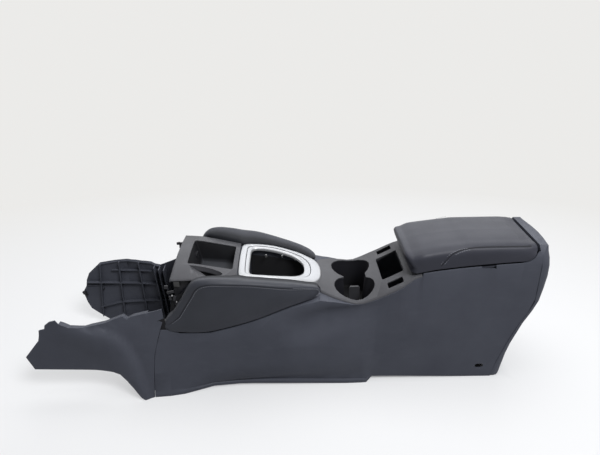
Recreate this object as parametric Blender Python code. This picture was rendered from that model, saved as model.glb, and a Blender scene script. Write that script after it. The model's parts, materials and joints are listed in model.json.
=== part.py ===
"""Centre console of a compact crossover: carcass, finishers, knee pads, cup holder, bin and hinged armrest.

All sizes are in millimetres and turned into metres where a mesh is made. A station is the distance
behind the console's front tip, a half is the distance from the middle plane and z is the height
above the floor. The front of the car is towards -X and its left side towards -Y.
"""

from math import cos, hypot, pi, radians, sin

import bmesh
import bpy
import numpy as np
from mathutils import Matrix, Vector

MM = 0.001

# Driving sizes
LENGTH = 1100.0
WALL = 2.8
PANEL = 2.4
TRIM_WALL = 2.0
SEAM = 1.0
PLAY = 0.4
DECK_PLAY = 0.8
FLANGE_HEIGHT = 7.0
SKIRT = 4.0
DECK_SIDE = 3.4

CUP_RADIUS = 44.0
CUP_STATION = 691.0
CUP_OFFSET = 40.4
CUP_FLOOR_Z = 132.0
CUP_DRAFT = 4.0
CUP_WALL = 1.8
CUP_FLANGE = 1.5
CUP_NECK_AHEAD = 19.0
CUP_NECK_BEHIND = 30.0
DIVIDER_STATION = 697.5
DIVIDER_WIDTH = 26.0
DIVIDER_THICKNESS = 5.0
DIVIDER_DROP = 22.5

SWITCH_LENGTH = 31.0
SWITCH_WIDTH = 19.0
SWITCH_STATION = 773.0
SWITCH_OFFSET = 71.0
TRAY_FRONT = 750.0
TRAY_REAR = 795.0
TRAY_HALF = 45.0

BIN_FRONT = 832.0
BIN_REAR = 1030.0
BIN_MIDDLE = (BIN_FRONT + BIN_REAR) / 2
BIN_HALF = 62.0
BIN_DEPTH = 140.0
BIN_WALL = 2.2
BIN_FLANGE = 5.0
MAT_THICKNESS = 2.0

LID_FRONT = 790.0
LID_NOSE = 20.0
LID_NOSE_PLAN = 30.0
LID_NOSE_RISE = 12.0
LID_HEEL_PLAN = 12.0
LID_HALF = 82.0
LID_GAP = 3.0
LID_SKIN = 9.0
LID_BASE_WALL = 3.0
DECK_DROP = 5.0
CAP_GAP = 1.4
CAP_PROUD = 0.8
CAP_REAR = 1092.0

HINGE_STATION = 1055.5
HINGE_Z = 310.0
HINGE_PIN_RADIUS = 3.0
HINGE_PIN_PLAY = 0.12
HINGE_HALF = 36.0
HINGE_KNUCKLE = 6.0
HINGE_REACH = 8.6
EAR_FROM = 22.0
EAR_TO = 28.0
EAR_PLAY = 0.5
LID_REAR = HINGE_STATION + HINGE_REACH
CAP_FRONT = LID_REAR + CAP_GAP
HEEL_FRONT = 1036.0

TRIM_FRONT = 309.0
POCKET_DEPTH = 40.0
OUTLET_RADIUS = 11.0
OUTLET_WALL = 2.4
OUTLET_LENGTH = 24.0

PAD_FOAM = 6.0
PAD_BACKING = 2.5
PAD_GAP = 2.0
PAD_ROLL = 20.0
PAD_LEAN = 14.0
PAD_PAIRS = 16
PAD_FULL_WIDTH = 45.0
PAD_CROWN = 1.5
PAD_ROOM = 6.5
BACKING_NARROWS = 500.0
BACKING_DRAW = 0.06
LEDGE = 23.0

FINISHER_WALL = 2.6
FINISHER_FLANGE = 14.0
PLATE_FLANGE = 5.0
RIB_HEIGHT = 9.0
RIB_THICKNESS = 2.0
CHEEK_HALF = 87.6
SCREW_RADIUS = 2.2
SCREW_HEAD = 4.2
SCREW_HEAD_HEIGHT = 2.4
SCREW_LENGTH = 13.0
BRACKET_SCREW_STATION = 1059.0
BRACKET_SCREW_Y = 12.0
BRACKET_PLATE = 2.5


class Line:
    """A smooth line through rows of (place, value, ...), with no overshoot between the rows."""

    def __init__(self, *rows):
        table = np.array(rows, float)
        self.place = table[:, 0]
        self.value = table[:, 1:]
        rise = np.diff(self.value, axis=0) / np.diff(self.place)[:, None]
        product = rise[:-1] * rise[1:]
        total = rise[:-1] + rise[1:]
        inner = np.where(product > 0, 2 * product / np.where(total == 0, 1, total), 0)
        self.slope = np.vstack([rise[:1], inner, rise[-1:]])

    def __call__(self, place):
        place = min(max(place, self.place[0]), self.place[-1])
        i = min(max(np.searchsorted(self.place, place) - 1, 0), len(self.place) - 2)
        step = self.place[i + 1] - self.place[i]
        t = (place - self.place[i]) / step
        found = (
            (1 + 2 * t) * (1 - t) ** 2 * self.value[i]
            + t * (1 - t) ** 2 * step * self.slope[i]
            + t * t * (3 - 2 * t) * self.value[i + 1]
            - t * t * (1 - t) * step * self.slope[i + 1]
        )
        return found if len(found) > 1 else float(found[0])


# Lines that run along the console: station, half and z
FOOT = Line(
    (245, 144, 0), (309, 138, 0), (345, 127, 3), (379, 119, 6), (448, 113, 6),
    (570, 114, 4), (690, 113, 0), (717, 112, 0), (731, 101, 8), (900, 101, 3),
    (1001, 100, 0), (1095, 100, 0),
)
WAIST = Line(
    (245, 128, 100), (309, 121, 100), (379, 118, 95), (448, 116, 95), (570, 114, 105),
    (704, 109, 95), (733, 102, 110), (765, 100, 120), (900, 96, 130), (965, 93, 135),
    (1095, 88, 150),
)
PAD_LOWER = Line(
    (245, 116, 160), (283, 115, 160), (290, 114, 158), (300, 114, 152), (320, 114, 148),
    (375, 116, 148), (424, 116, 159), (486, 113, 177), (548, 106, 199), (586, 97, 207),
    (604, 88, 209), (612, 78, 212),
)
TRIM_EDGE = Line(
    (290, 98, 269.5), (305, 98, 269), (345, 95, 268), (385, 87, 264), (425, 78, 259.5),
    (455, 73.5, 256), (495, 74, 254), (535, 69.5, 246.5), (575, 63, 236), (595, 59, 228),
    (615, 66, 215), (645, 83, 210), (675, 90, 203.5), (690, 92, 200.6), (705, 92, 202),
    (720, 93, 208), (750, 93.5, 222), (780, 93, 237.5), (795, 89.5, 247), (810, 84, 255.4),
    (830, 83, 261),
)
CROWN = Line(
    (290, 8), (365, 6), (445, 3), (535, 3), (615, 7), (645, 3), (690, 4), (720, 3),
    (750, 5), (795, 4), (812, 3),
)
LID_LOWER = Line(
    (805, 263), (860, 272), (942, 281), (1044, 288), (1063, 288.5),
)
LID_CREASE = Line(
    (805, 77, 299.5), (825, 80.5, 306.3), (845, 79.5, 309.6), (865, 78.6, 312.4),
    (905, 78.4, 316.8), (925, 78, 318.9), (1025, 78, 319.5), (1045, 77, 319), (1063, 72, 317),
)
CAP_TOP = LID_CREASE(HINGE_STATION)[1] + CAP_PROUD
PAD_END = 612.0
TRIM_END = 826.0
SHOULDER = Line(
    (245, 116), (283, 115), (290, 114), (320, 114), (375, 116), (424, 116), (486, 113),
    (548, 106), (575, 102), (600, 98.6), (620, 97), (645, 96.5), (675, 95), (690, 94.5),
    (705, 94.5), (720, 95.5), (750, 96), (780, 95.5), (795, 92), (810, 86.5), (830, 85.5), (1095, 85),
)

# Lines that run up the console: z and station
FRONT_SEAM = Line(
    (-10, 257), (54, 260.5), (99, 265), (132, 273.5), (160, 282), (181, 290),
)
REAR_SEAM = Line(
    (-10, 1000), (5, 1002), (82, 1025), (134, 1046), (196, 1072), (263, 1071),
    (300, 1070), (321, 1084),
)
REAR_FACE = Line(
    (0, 1024), (10, 1026), (54, 1034), (109, 1048), (149, 1067), (188, 1085),
    (250, 1094), (285, 1092), (305, 1089), (317, 1087),
)
REAR_BULGE = 6.0


def paint(name, colour, roughness, metallic=0.0):
    """A plain material with the piece's colour."""
    material = bpy.data.materials.new(name)
    material.use_nodes = True
    shader = material.node_tree.nodes["Principled BSDF"]
    shader.inputs["Base Color"].default_value = (*colour, 1.0)
    shader.inputs["Roughness"].default_value = roughness
    shader.inputs["Metallic"].default_value = metallic
    material.diffuse_color = (*colour, 1.0)
    return material


LOOKS = {
    "charcoal": ((0.045, 0.049, 0.058), 0.55, 0.0),
    "grey": ((0.17, 0.17, 0.18), 0.5, 0.0),
    "black": ((0.012, 0.012, 0.014), 0.5, 0.0),
    "silver": ((0.62, 0.63, 0.65), 0.35, 0.8),
    "leather": ((0.035, 0.036, 0.042), 0.6, 0.0),
    "armrest": ((0.10, 0.102, 0.115), 0.6, 0.0),
    "steel": ((0.5, 0.5, 0.5), 0.35, 1.0),
    "rubber": ((0.02, 0.02, 0.02), 0.85, 0.0),
}


def mesh_object(name, points, faces, look=None):
    """An object from points given as (station, y, z) in millimetres."""
    bm = bmesh.new()
    vertices = [
        bm.verts.new(((s - LENGTH / 2) * MM, y * MM, z * MM)) for s, y, z in points
    ]
    for face in faces:
        bm.faces.new([vertices[i] for i in face])
    bmesh.ops.recalc_face_normals(bm, faces=bm.faces)
    if bm.calc_volume(signed=True) < 0:
        bmesh.ops.reverse_faces(bm, faces=bm.faces)
    mesh = bpy.data.meshes.new(name)
    bm.to_mesh(mesh)
    bm.free()
    obj = bpy.data.objects.new(name, mesh)
    bpy.context.scene.collection.objects.link(obj)
    if look:
        mesh.materials.append(paint(name, *LOOKS[look]))
        mesh.shade_smooth()
        mesh.set_sharp_from_angle(angle=radians(35))
    else:
        obj.hide_render = True
        obj.display_type = "WIRE"
    return obj


def loft(name, sections, look=None):
    """A solid through closed sections of equal length, capped at both ends."""
    count = len(sections[0])
    points = [p for section in sections for p in section]
    faces = [tuple(range(count)), tuple(range(len(points) - count, len(points)))]
    for k in range(len(sections) - 1):
        for i in range(count):
            j = (i + 1) % count
            faces.append(
                (k * count + i, k * count + j, (k + 1) * count + j, (k + 1) * count + i)
            )
    return mesh_object(name, points, faces, look)


def ring(name, loops, look=None):
    """A closed ring whose skin runs through the loops and back to the first one."""
    count = len(loops[0])
    points = [p for loop in loops for p in loop]
    faces = []
    for k in range(len(loops)):
        after = (k + 1) % len(loops)
        for i in range(count):
            j = (i + 1) % count
            faces.append(
                (k * count + i, k * count + j, after * count + j, after * count + i)
            )
    return mesh_object(name, points, faces, look)


def sheet(name, grid, offset, look=None):
    """A grid of points thickened along the offset that is given for each of its points."""
    outer = np.array(grid, float)
    inner = outer + np.array(offset, float)
    rows, columns = outer.shape[:2]
    points = [tuple(p) for p in outer.reshape(-1, 3)] + [tuple(p) for p in inner.reshape(-1, 3)]
    shift = rows * columns
    faces = []
    for i in range(rows - 1):
        for j in range(columns - 1):
            a, b = i * columns + j, (i + 1) * columns + j
            faces.append((a, b, b + 1, a + 1))
            faces.append((a + shift, a + 1 + shift, b + 1 + shift, b + shift))
    rim = (
        [(0, j) for j in range(columns)]
        + [(i, columns - 1) for i in range(1, rows)]
        + [(rows - 1, j) for j in range(columns - 2, -1, -1)]
        + [(i, 0) for i in range(rows - 2, 0, -1)]
    )
    for k, (i, j) in enumerate(rim):
        m, n = rim[(k + 1) % len(rim)]
        a, b = i * columns + j, m * columns + n
        faces.append((a, b, b + shift, a + shift))
    return mesh_object(name, points, faces, look)


def prism(name, outline, axis, low, high, look=None):
    """An outline extruded along y or z. It is (station, z) pairs for y and (station, y) for z."""
    if axis == "y":
        ends = [[(a, level, b) for a, b in outline] for level in (low, high)]
    else:
        ends = [[(a, b, level) for a, b in outline] for level in (low, high)]
    return loft(name, ends, look)


def box(name, stations, ys, zs, look=None):
    """A plain block between two stations, two ys and two heights."""
    (s0, s1), (y0, y1) = stations, ys
    return prism(name, [(s0, y0), (s1, y0), (s1, y1), (s0, y1)], "z", *zs, look)


def rod(name, middle, radius, width, look=None, sides=16, axis="y"):
    """A cylinder about its middle point, along y, z or the station."""
    s, y, z = middle
    turns = [2 * pi * k / sides for k in range(sides)]
    across = [(radius * cos(t), radius * sin(t)) for t in turns]
    ends = (-width / 2, width / 2)
    if axis == "y":
        sections = [[(s + a, y + e, z + b) for a, b in across] for e in ends]
    elif axis == "z":
        sections = [[(s + a, y + b, z + e) for a, b in across] for e in ends]
    else:
        sections = [[(s + e, y + a, z + b) for a, b in across] for e in ends]
    return loft(name, sections, look)


def combine(obj, tool, operation):
    modifier = obj.modifiers.new(tool.name, "BOOLEAN")
    modifier.operation = operation
    modifier.solver = "EXACT"
    modifier.object = tool
    return obj


def cut(obj, *tools):
    for tool in tools:
        combine(obj, tool, "DIFFERENCE")
    return obj


def join(obj, *tools):
    for tool in tools:
        combine(obj, tool, "UNION")
    return obj


def keep(obj, tool):
    return combine(obj, tool, "INTERSECT")


def rounded(corners, radius, steps=4):
    """A polygon with each corner rounded by an arc."""
    found = []
    count = len(corners)
    for i in range(count):
        before = Vector(corners[i - 1])
        here = Vector(corners[i])
        after = Vector(corners[(i + 1) % count])
        back, on = (before - here).normalized(), (after - here).normalized()
        half_angle = back.angle(on) / 2
        reach = radius / np.tan(half_angle)
        middle = here + (back + on).normalized() * radius / sin(half_angle)
        start = here + back * reach - middle
        turn = pi - 2 * half_angle
        side = 1 if back.cross(on) < 0 else -1
        for k in range(steps + 1):
            a = side * turn * k / steps
            found.append(
                (
                    middle.x + start.x * cos(a) - start.y * sin(a),
                    middle.y + start.x * sin(a) + start.y * cos(a),
                )
            )
    return found


def inset(outline, distance):
    """The outline moved inwards, or outwards where the distance is negative."""
    points = np.array(outline, float)
    return [tuple(p) for p in points + inward_of(points) * distance]


def inward_of(points):
    """The unit direction into a closed outline at each of its points."""
    before, after = np.roll(points, 1, axis=0), np.roll(points, -1, axis=0)
    along = after - before
    area = np.sum(points[:, 0] * after[:, 1] - points[:, 1] * after[:, 0])
    normal = np.stack([-along[:, 1], along[:, 0]], axis=1) * np.sign(area)
    return normal / np.linalg.norm(normal, axis=1)[:, None]


def mirrored(outline):
    """A half outline, from its first point on the middle plane to its last, with its other half."""
    other = [(s, -y) for s, y in reversed(outline) if abs(y) > 0.01]
    return outline + other


def top_z(station, y):
    """Height of the upper finish at a place."""
    half, edge = TRIM_EDGE(station)
    return edge + CROWN(station) * (1 - (y / half) ** 2)


def wall_half(station, z):
    """Half-width of the side wall at a height, on a parabola through foot, waist and shoulder."""
    (foot, foot_z), (waist, waist_z) = FOOT(station), WAIST(station)
    shoulder, shoulder_z = shoulder_of(station)
    return (
        foot * (z - waist_z) * (z - shoulder_z) / ((foot_z - waist_z) * (foot_z - shoulder_z))
        + waist * (z - foot_z) * (z - shoulder_z) / ((waist_z - foot_z) * (waist_z - shoulder_z))
        + shoulder * (z - foot_z) * (z - waist_z) / ((shoulder_z - foot_z) * (shoulder_z - waist_z))
    )


def shoulder_of(station):
    """Half and z where the side wall ends: at the pad's ledge, under the panel's edge or the lid."""
    half = SHOULDER(station)
    if station <= PAD_END:
        return half, PAD_LOWER(station)[1] - PAD_GAP
    if station <= TRIM_END:
        return half, TRIM_EDGE(station)[1] - SKIRT - SEAM
    return half, LID_LOWER(station) - LID_GAP - 2.5


RECESS_DEPTH = Line((245, 0), (330, 0), (420, 4), (560, 6), (700, 6), (717, 4), (728, 0), (1095, 0))
RECESS_TOP = Line((245, 14), (415, 16), (515, 26), (615, 38), (717, 50), (760, 40), (1095, 40))


def deck_z(station, y=0.0):
    """Height of the carcass's upper face under the finish, or under the lid."""
    if station >= TRIM_END:
        return LID_LOWER(station) - LID_GAP - DECK_DROP
    under = top_z(station, y) - PANEL - DECK_PLAY
    if BEZEL_FRONT - 3 < station < BEZEL_REAR + 3:
        under = min(under, bezel_z(station, y) - BEZEL_DEPTH - PLAY)
    return under


def half_section(station, cap=False):
    """Outer half-section of the carcass as (half, z), from the foot to the middle of the deck."""
    foot, foot_z = FOOT(station)
    depth = RECESS_DEPTH(station)
    top = RECESS_TOP(station)
    shoulder, shoulder_z = shoulder_of(station)
    waist_z = WAIST(station)[1]
    section = [
        (foot, foot_z),
        (foot, foot_z + FLANGE_HEIGHT),
        (foot - depth, foot_z + FLANGE_HEIGHT + 1),
    ]
    middle = (foot_z + FLANGE_HEIGHT + top) / 2 + 1
    section.append((wall_half(station, middle) - depth * 0.55, middle))
    for z in (top + 2, (top + waist_z) / 2, waist_z, (waist_z + shoulder_z) / 2, shoulder_z):
        section.append((wall_half(station, z), z))
    edge = TRIM_EDGE(station)[0]
    if cap:
        rim = LID_LOWER(station) - LID_GAP
        lift = CAP_TOP - rim
        shape = ((82.5, 0.35), (77, 0.72), (68, 1.0), (33, 1.01), (0, 1.02))
        section += [(half, rim + lift * share) for half, share in shape]
        return section
    if station <= PAD_END:
        inner = min(shoulder - LEDGE, edge - DECK_SIDE)
        section.append(((shoulder + inner) / 2, shoulder_z + 0.2))
        section.append((inner, shoulder_z + 0.5))
    elif station < TRIM_END:
        section.append(((shoulder + edge) / 2, shoulder_z + 0.3))
        section.append((edge - 2.2, shoulder_z + 0.5))
    else:
        section.append((shoulder - 0.8, shoulder_z + 2.0))
        section.append((shoulder - 3.0, shoulder_z + 2.5))
    side = edge - DECK_SIDE if station < TRIM_END else shoulder - 4.0
    section += [(side, deck_z(station, side)), (side / 2, deck_z(station, side / 2)), (0, deck_z(station))]
    return section


def shell_inside(section):
    """The inner half-section that leaves the wall's thickness, open at the floor."""
    lowest = section[2][0] - WALL
    inner = [(lowest, -20.0), (lowest, section[1][1]), (lowest, section[2][1])]
    inner += [(half - WALL, z) for half, z in section[3:8]]
    inner += [(half - WALL, z - WALL) for half, z in section[8:-1]]
    inner.append((0, section[-1][1] - WALL))
    return inner


def both_sides(station, half_points):
    left = [(station, -half, z) for half, z in half_points]
    right = [(station, half, z) for half, z in reversed(half_points[:-1])]
    return left + right


BODY_STATIONS = (
    245, 292, 320, 382, 437.5, 438.5, 470, 515, 555, 588, 611, 613, 630, 645, 660, 675, 690, 704, 718,
    732, 750, 766, 782, 796, 812, TRIM_END - 1.0, TRIM_END + 1.0, 860, 905, 990,
)
HOLLOW_STATIONS = (
    245, 292, 382, 437.5, 438.5, 515, 588, 611, 613, 645, 675, 704, 732, 766, 796,
    TRIM_END - 1.0, TRIM_END + 1.0, 905, CAP_FRONT - 1.0,
)
LID_ROOM_FRONT = HEEL_FRONT - 4.0
LID_ROOM_HALF = 77.5
FOOT_SLOT = (973, 29, 19, 10.5)
NOTCH_STATIONS = (946, 976)
NOTCH_DEPTH = 6.5


def slot_outline(station, z, length, height, steps=6):
    """An upright-standing slot with round ends, as (station, z)."""
    reach, radius = (length - height) / 2, height / 2
    found = []
    for side in (1, -1):
        for k in range(steps + 1):
            a = -pi / 2 + pi * k / steps
            found.append((station + side * (reach + radius * cos(a)), z + side * radius * sin(a)))
    return found


def console_body():
    """The carcass: both side walls, the deck with its openings and the rear cap in one moulding."""
    outer = [both_sides(s, half_section(s)) for s in BODY_STATIONS + (LID_ROOM_FRONT + 1.0,)]
    outer += [both_sides(s, half_section(s, True)) for s in (LID_ROOM_FRONT + 2.0, HINGE_STATION, CAP_REAR)]
    inner = [both_sides(s, shell_inside(half_section(s))) for s in HOLLOW_STATIONS]
    inner = [[(225, y, z) for _, y, z in inner[0]]] + inner
    inner[-1] = [(s + WALL, y, z) for s, y, z in inner[-1]]
    inner += [both_sides(s, shell_inside(half_section(s, True))) for s in (CAP_FRONT + WALL, 1110)]
    body = loft("console_body", outer, "charcoal")
    cut(body, loft("body_hollow", inner), body_front_cutter(), body_rear_cutter(), *lid_room())
    for name, first, last, margin in DECK_OPENINGS:
        stations = np.linspace(first, last, 7)
        side = [(s, TRIM_EDGE(s)[0] - margin) for s in stations]
        outline = side + [(s, -half) for s, half in reversed(side)]
        cut(body, prism(name, outline, "z", 150, 340))
    cups = cup_outline(CUP_WALL + CUP_FLANGE + 0.7)
    cut(body, prism("body_cup_opening", cups, "z", 150, 260))
    cut(body, prism("body_leaf_opening", inset(LEAF_OUTLINE, -3), "z", 246, 300))
    bin_hole = rounded(bin_corners(1.0), 14)
    cut(body, prism("body_bin_opening", bin_hole, "z", 200, 300))
    for side, name in ((-1, "left"), (1, "right")):
        cut(body, prism(f"body_slot_{name}", slot_outline(*FOOT_SLOT), "y", side * 70, side * 130))
        hole = (BRACKET_SCREW_STATION, side * BRACKET_SCREW_Y, deck_z(HINGE_STATION))
        cut(body, rod(f"body_screw_hole_{name}", hole, SCREW_RADIUS + 0.3, 20, axis="z", sides=12))
    front, rear = NOTCH_STATIONS
    rim = LID_LOWER((front + rear) / 2) - LID_GAP
    cut(body, box("body_notch", NOTCH_STATIONS, (-100, -79), (rim - NOTCH_DEPTH, rim + 5)))
    return body


def body_front_cutter():
    """Everything ahead of the carcass: the seam with the finishers, then the line under the pads."""
    front = [(FRONT_SEAM(z), z) for z in (-30, 20, 54, 80, 99, 118, 132, 146, 160)]
    front += [(300, 172), (318, 202), (337, 235), (352, 258), (353, 300), (200, 300), (200, -30)]
    return prism("body_front_cutter", front, "y", -200, 200)


def body_rear_cutter():
    rear = [(REAR_SEAM(z), z) for z in (-30, 5, 40, 82, 108, 134, 165, 196, 230, 263, 300, 310, 321)]
    rear += [(REAR_SEAM(321), 360), (1150, 360), (1150, -30)]
    return prism("body_rear_cutter", rear, "y", -200, 200)


def lid_room():
    """The room that the lid's rear end takes out of the cap: down to the deck inside, and along
    the lid's rounded heel at both sides."""
    shave = 0.15
    front, rear, top = LID_ROOM_FRONT, CAP_FRONT, CAP_TOP + 30
    deck = [(s, deck_z(s) - shave) for s in (front, rear)]
    middle = prism("body_lid_room", deck + [(rear, top), (front, top)], "y", -LID_ROOM_HALF, LID_ROOM_HALF)
    rim = [(s, LID_LOWER(s) - LID_GAP - shave) for s in (front, HEEL_FRONT)]
    heel = [(s + 1.9, z - 1.9) for s, z in LID_HEEL[1:]]
    heel += [(rear, HINGE_Z + 4), (rear, top), (front, top)]
    sides = prism("body_heel_room", rim + heel, "y", -120, 120)
    return middle, sides


DECK_OPENINGS = (
    ("body_pocket_opening", 200, 436, 11),
    ("body_shift_opening", 450, 608, 12),
    ("body_tray_opening", 743, 800, 7.5),
)


def bin_corners(more=0.0):
    front, rear, half = BIN_FRONT - more, BIN_REAR + more, BIN_HALF + more
    return [(front, -half), (rear, -half), (rear, half), (front, half)]


def bin_outline(more, radius):
    """The bin's rounded outline, with points along its sides so that it follows the deck."""
    outline = rounded(bin_corners(more), radius)
    found = []
    for here, after in zip(outline, outline[1:] + outline[:1]):
        found.append(here)
        if abs(after[0] - here[0]) > 60:
            places = (880, 935, 990) if after[0] > here[0] else (990, 935, 880)
            found += [(s, here[1]) for s in places]
    return found


def rear_panel():
    """The rear closing panel, wrapped round the back of the carcass."""
    heights = (1.5, 12, 30, 54, 82, 134, 165, 190, 220, 250, 275, 292, 305, 315)

    def section(z, less, front=None):
        seam = REAR_SEAM(z) + SEAM
        half = cap_half(z) if z > 283 else wall_half(min(REAR_SEAM(z), 1062), max(z, 1))
        half -= less
        rear = REAR_FACE(z) - less
        radius = min(15.0, rear - seam - 2.0)
        points = [(front or seam, -half)]
        points += [
            (rear - radius + radius * sin(a), -(half - radius + radius * cos(a)))
            for a in (0, pi / 6, pi / 3, pi / 2)
        ]
        points += [(rear + REAR_BULGE * 0.75, -half * 0.4), (rear + REAR_BULGE, 0)]
        return mirrored_section(points)

    panel = loft("rear_panel", [[(s, y, z) for s, y in section(z, 0)] for z in heights], "charcoal")
    levels = [(-10.0, 1.5)] + [(z, z) for z in heights[1:-2]] + [(312.0, 312.0)]
    inner = [[(s, y, level) for s, y in section(z, PANEL, 960.0)] for level, z in levels]
    cut(panel, loft("rear_panel_hollow", inner))
    return panel


def mirrored_section(points):
    return points + [(s, -y) for s, y in reversed(points[:-1])]


def cap_half(z):
    """Half-width of the rear cap at a height."""
    return float(np.interp(z, (283, 290, 306, 316, 321), (85, 82.5, 75, 66, 60)))


# Finishers at the front of the console, outlined as (station, z)
WING_OUTLINE = (
    (12, 72), (0, 104), (34, 145), (38, 158), (40, 170), (52, 173), (54, 182), (64, 190),
    (76, 193), (81, 185), (100, 176), (130, 175), (150, 178), (172, 181), (188, 186),
    (206, 191), (214, 183), (224, 188), (256, 195), (287, 204),
)
WING_FOOT = ((238, 0), (230, 8), (216, 30), (203, 48), (191, 61), (176, 66))
PLATE_OUTLINE = (
    (87, 8), (58, 32), (41, 48), (34, 68), (29, 98), (40, 116), (44, 134), (53, 153),
    (85, 183), (108, 187), (132, 191), (155, 194), (215, 193), (224, 187), (236, 184), (287, 204),
)
PLATE_FOOT = ((238, 0), (112, 0))
FINISHER_FRONT_HALF = 128.0


def finisher_half(station, z):
    """Half-width of the front finishers: upright ahead, flared like the side wall at the seam."""
    share = min(max((station - 120) / 125, 0), 1)
    share = share * share * (3 - 2 * share)
    lean = (130 - z) * 0.02
    return (1 - share) * (FINISHER_FRONT_HALF + lean) + share * wall_half(max(station, 245), min(z, 215))


def finisher(name, side, outline, foot, flange):
    """A front finisher: a curved plate cut to its outline, with a flange folded inwards on top and
    a strip that closes the seam with the carcass from inside."""
    front, rear, width = flange
    stations = (-10, 50, 120, 150, 175, 200, 225, 245, 262, 280, 300)
    heights = (-8, 40, 80, 120, 160, 215)
    grid = [[(s, side * finisher_half(s, z), z) for z in heights] for s in stations]
    plate = sheet(name, grid, [[(0, -side * FINISHER_WALL, 0)] * len(heights)] * len(stations), "charcoal")
    seam = [(FRONT_SEAM(z) - SEAM, z) for z in (181, 160, 132, 99, 54, 0)]
    shape = list(outline) + seam + list(foot)
    keep(plate, prism(f"{name}_outline", shape, "y", side * 80, side * 170))
    crest = [p for p in outline if front <= p[0] <= rear and p[1] > 150]
    fold = []
    for station, z in crest:
        half = finisher_half(station, z)
        fold.append(
            [(station, side * (half - 0.6), z - 1.0), (station, side * (half - width), z - 2.5)]
        )
    drop = [[(0, 0, -FINISHER_WALL)] * 2] * len(fold)
    join(plate, sheet(f"{name}_flange", fold, drop), seam_strip(f"{name}_strip", side))
    return plate


def seam_strip(name, side):
    """A strip that starts on the finisher's inner face and steps behind the carcass's wall."""
    grid = []
    for z in (14, 54, 99, 132):
        steps = ((-12, 2.0), (-2.5, 2.0), (-1.0, WALL + 1.2), (8, WALL + 1.2))
        stations = [(FRONT_SEAM(z) + step, depth) for step, depth in steps]
        grid.append([(s, side * (finisher_half(s, z) - depth), z) for s, depth in stations])
    return sheet(name, grid, [[(0, -side * 1.8, 0)] * 4] * len(grid))


def front_finisher_left():
    return finisher("front_finisher_left", -1, WING_OUTLINE, WING_FOOT, (81, 280, FINISHER_FLANGE))


def front_finisher_right():
    """The deeper right-hand plate, with its grid of stiffening ribs on the inner face."""
    plate = finisher("front_finisher_right", 1, PLATE_OUTLINE, PLATE_FOOT, (85, 280, PLATE_FLANGE))

    def rib(name, start, end, height):
        (s0, z0), (s1, z1) = start, end
        length = hypot(s1 - s0, z1 - z0)
        across = (-(z1 - z0) / length * RIB_THICKNESS / 2, (s1 - s0) / length * RIB_THICKNESS / 2)
        sections = []
        for share in (0, 0.5, 1):
            s, z = s0 + (s1 - s0) * share, z0 + (z1 - z0) * share
            half = finisher_half(s, z) - FINISHER_WALL
            ends = ((1, 0.8), (1, -height), (-1, -height), (-1, 0.8))
            sections.append(
                [(s + sign * across[0], half + reach, z + sign * across[1]) for sign, reach in ends]
            )
        return loft(name, sections)

    for name, start, end, height in PLATE_RIBS:
        join(plate, rib(name, start, end, height))
    return plate


PLATE_RIBS = (
    ("rib_upright_1", (87, 182), (70, 27), RIB_HEIGHT),
    ("rib_upright_2", (134, 189), (124, 4), RIB_HEIGHT),
    ("rib_upright_3", (184, 191), (182, 4), RIB_HEIGHT),
    ("rib_upright_4", (223, 184), (226, 4), RIB_HEIGHT + 8),
    ("rib_upright_5", (236, 182), (240, 6), RIB_HEIGHT + 14),
    ("rib_upright_6", (249, 184), (252, 10), RIB_HEIGHT + 20),
    ("rib_level_1", (48, 130), (248, 125), RIB_HEIGHT),
    ("rib_level_2", (122, 70), (248, 73), RIB_HEIGHT),
    ("rib_level_3", (112, 164), (222, 166), RIB_HEIGHT - 3),
    ("rib_level_4", (122, 24), (234, 26), RIB_HEIGHT),
    ("rib_slant", (70, 56), (126, 71), RIB_HEIGHT),
)


# Upper finish
BEZEL_HALF_OUTLINE = (
    (441, 0), (441.5, 30), (442.5, 58), (445, 68), (452, 72.5), (470, 73), (495, 73.2),
    (515, 72), (535, 68.8), (555, 65.2), (575, 61.5), (592, 56.5), (604, 50), (613, 38),
    (618.5, 20), (620, 0),
)
SHIFT_HALF_OUTLINE = (
    (464, 0), (464.3, 34), (465, 48), (468, 54.5), (477, 57.5), (495, 58), (515, 56),
    (535, 51.5), (555, 45), (569, 36), (578, 24), (582, 12), (583, 0),
)
BEZEL_FRONT = 441.0
BEZEL_REAR = 620.0
BEZEL_DEPTH = 5.0
BEZEL_CENTRE = (515.0, 0.0)
RING_STEPS = 36
CUP_STEPS = 18
FACE_FRACTIONS = (-1, -0.5, 0, 0.5, 1)


def radial(half_outline, angle):
    """Distance from the bezel's centre to a mirrored half outline in a direction."""
    points = np.array(mirrored(list(half_outline))) - BEZEL_CENTRE
    angles = np.arctan2(points[:, 1], points[:, 0])
    order = np.argsort(angles)
    return float(
        np.interp(angle, angles[order], np.hypot(points[:, 0], points[:, 1])[order], period=2 * pi)
    )


def bezel_loop(share, rise, grow=0.0):
    """A loop between the shift opening, share 0, and the bezel's rim, share 1, above the finish."""
    loop = []
    for k in range(RING_STEPS):
        angle = 2 * pi * k / RING_STEPS
        inner = radial(SHIFT_HALF_OUTLINE, angle)
        outer = radial(BEZEL_HALF_OUTLINE, angle)
        reach = inner + (outer - inner) * share + grow
        s = BEZEL_CENTRE[0] + reach * cos(angle)
        y = BEZEL_CENTRE[1] + reach * sin(angle)
        loop.append((s, y, bezel_z(s, y) + rise))
    return loop


def bezel_z(station, y):
    """Height of the bezel's face, a calm saddle just proud of the finish round it."""
    edge = BEZEL_RIM_Z(station)
    return edge + 2.0 * (1 - (y / 73.0) ** 2)


BEZEL_RIM_Z = Line(
    (441, 257), (470, 255.6), (495, 253.6), (515, 250.6), (535, 246.6), (555, 241.8),
    (575, 236), (595, 228.6), (620, 222),
)


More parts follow.
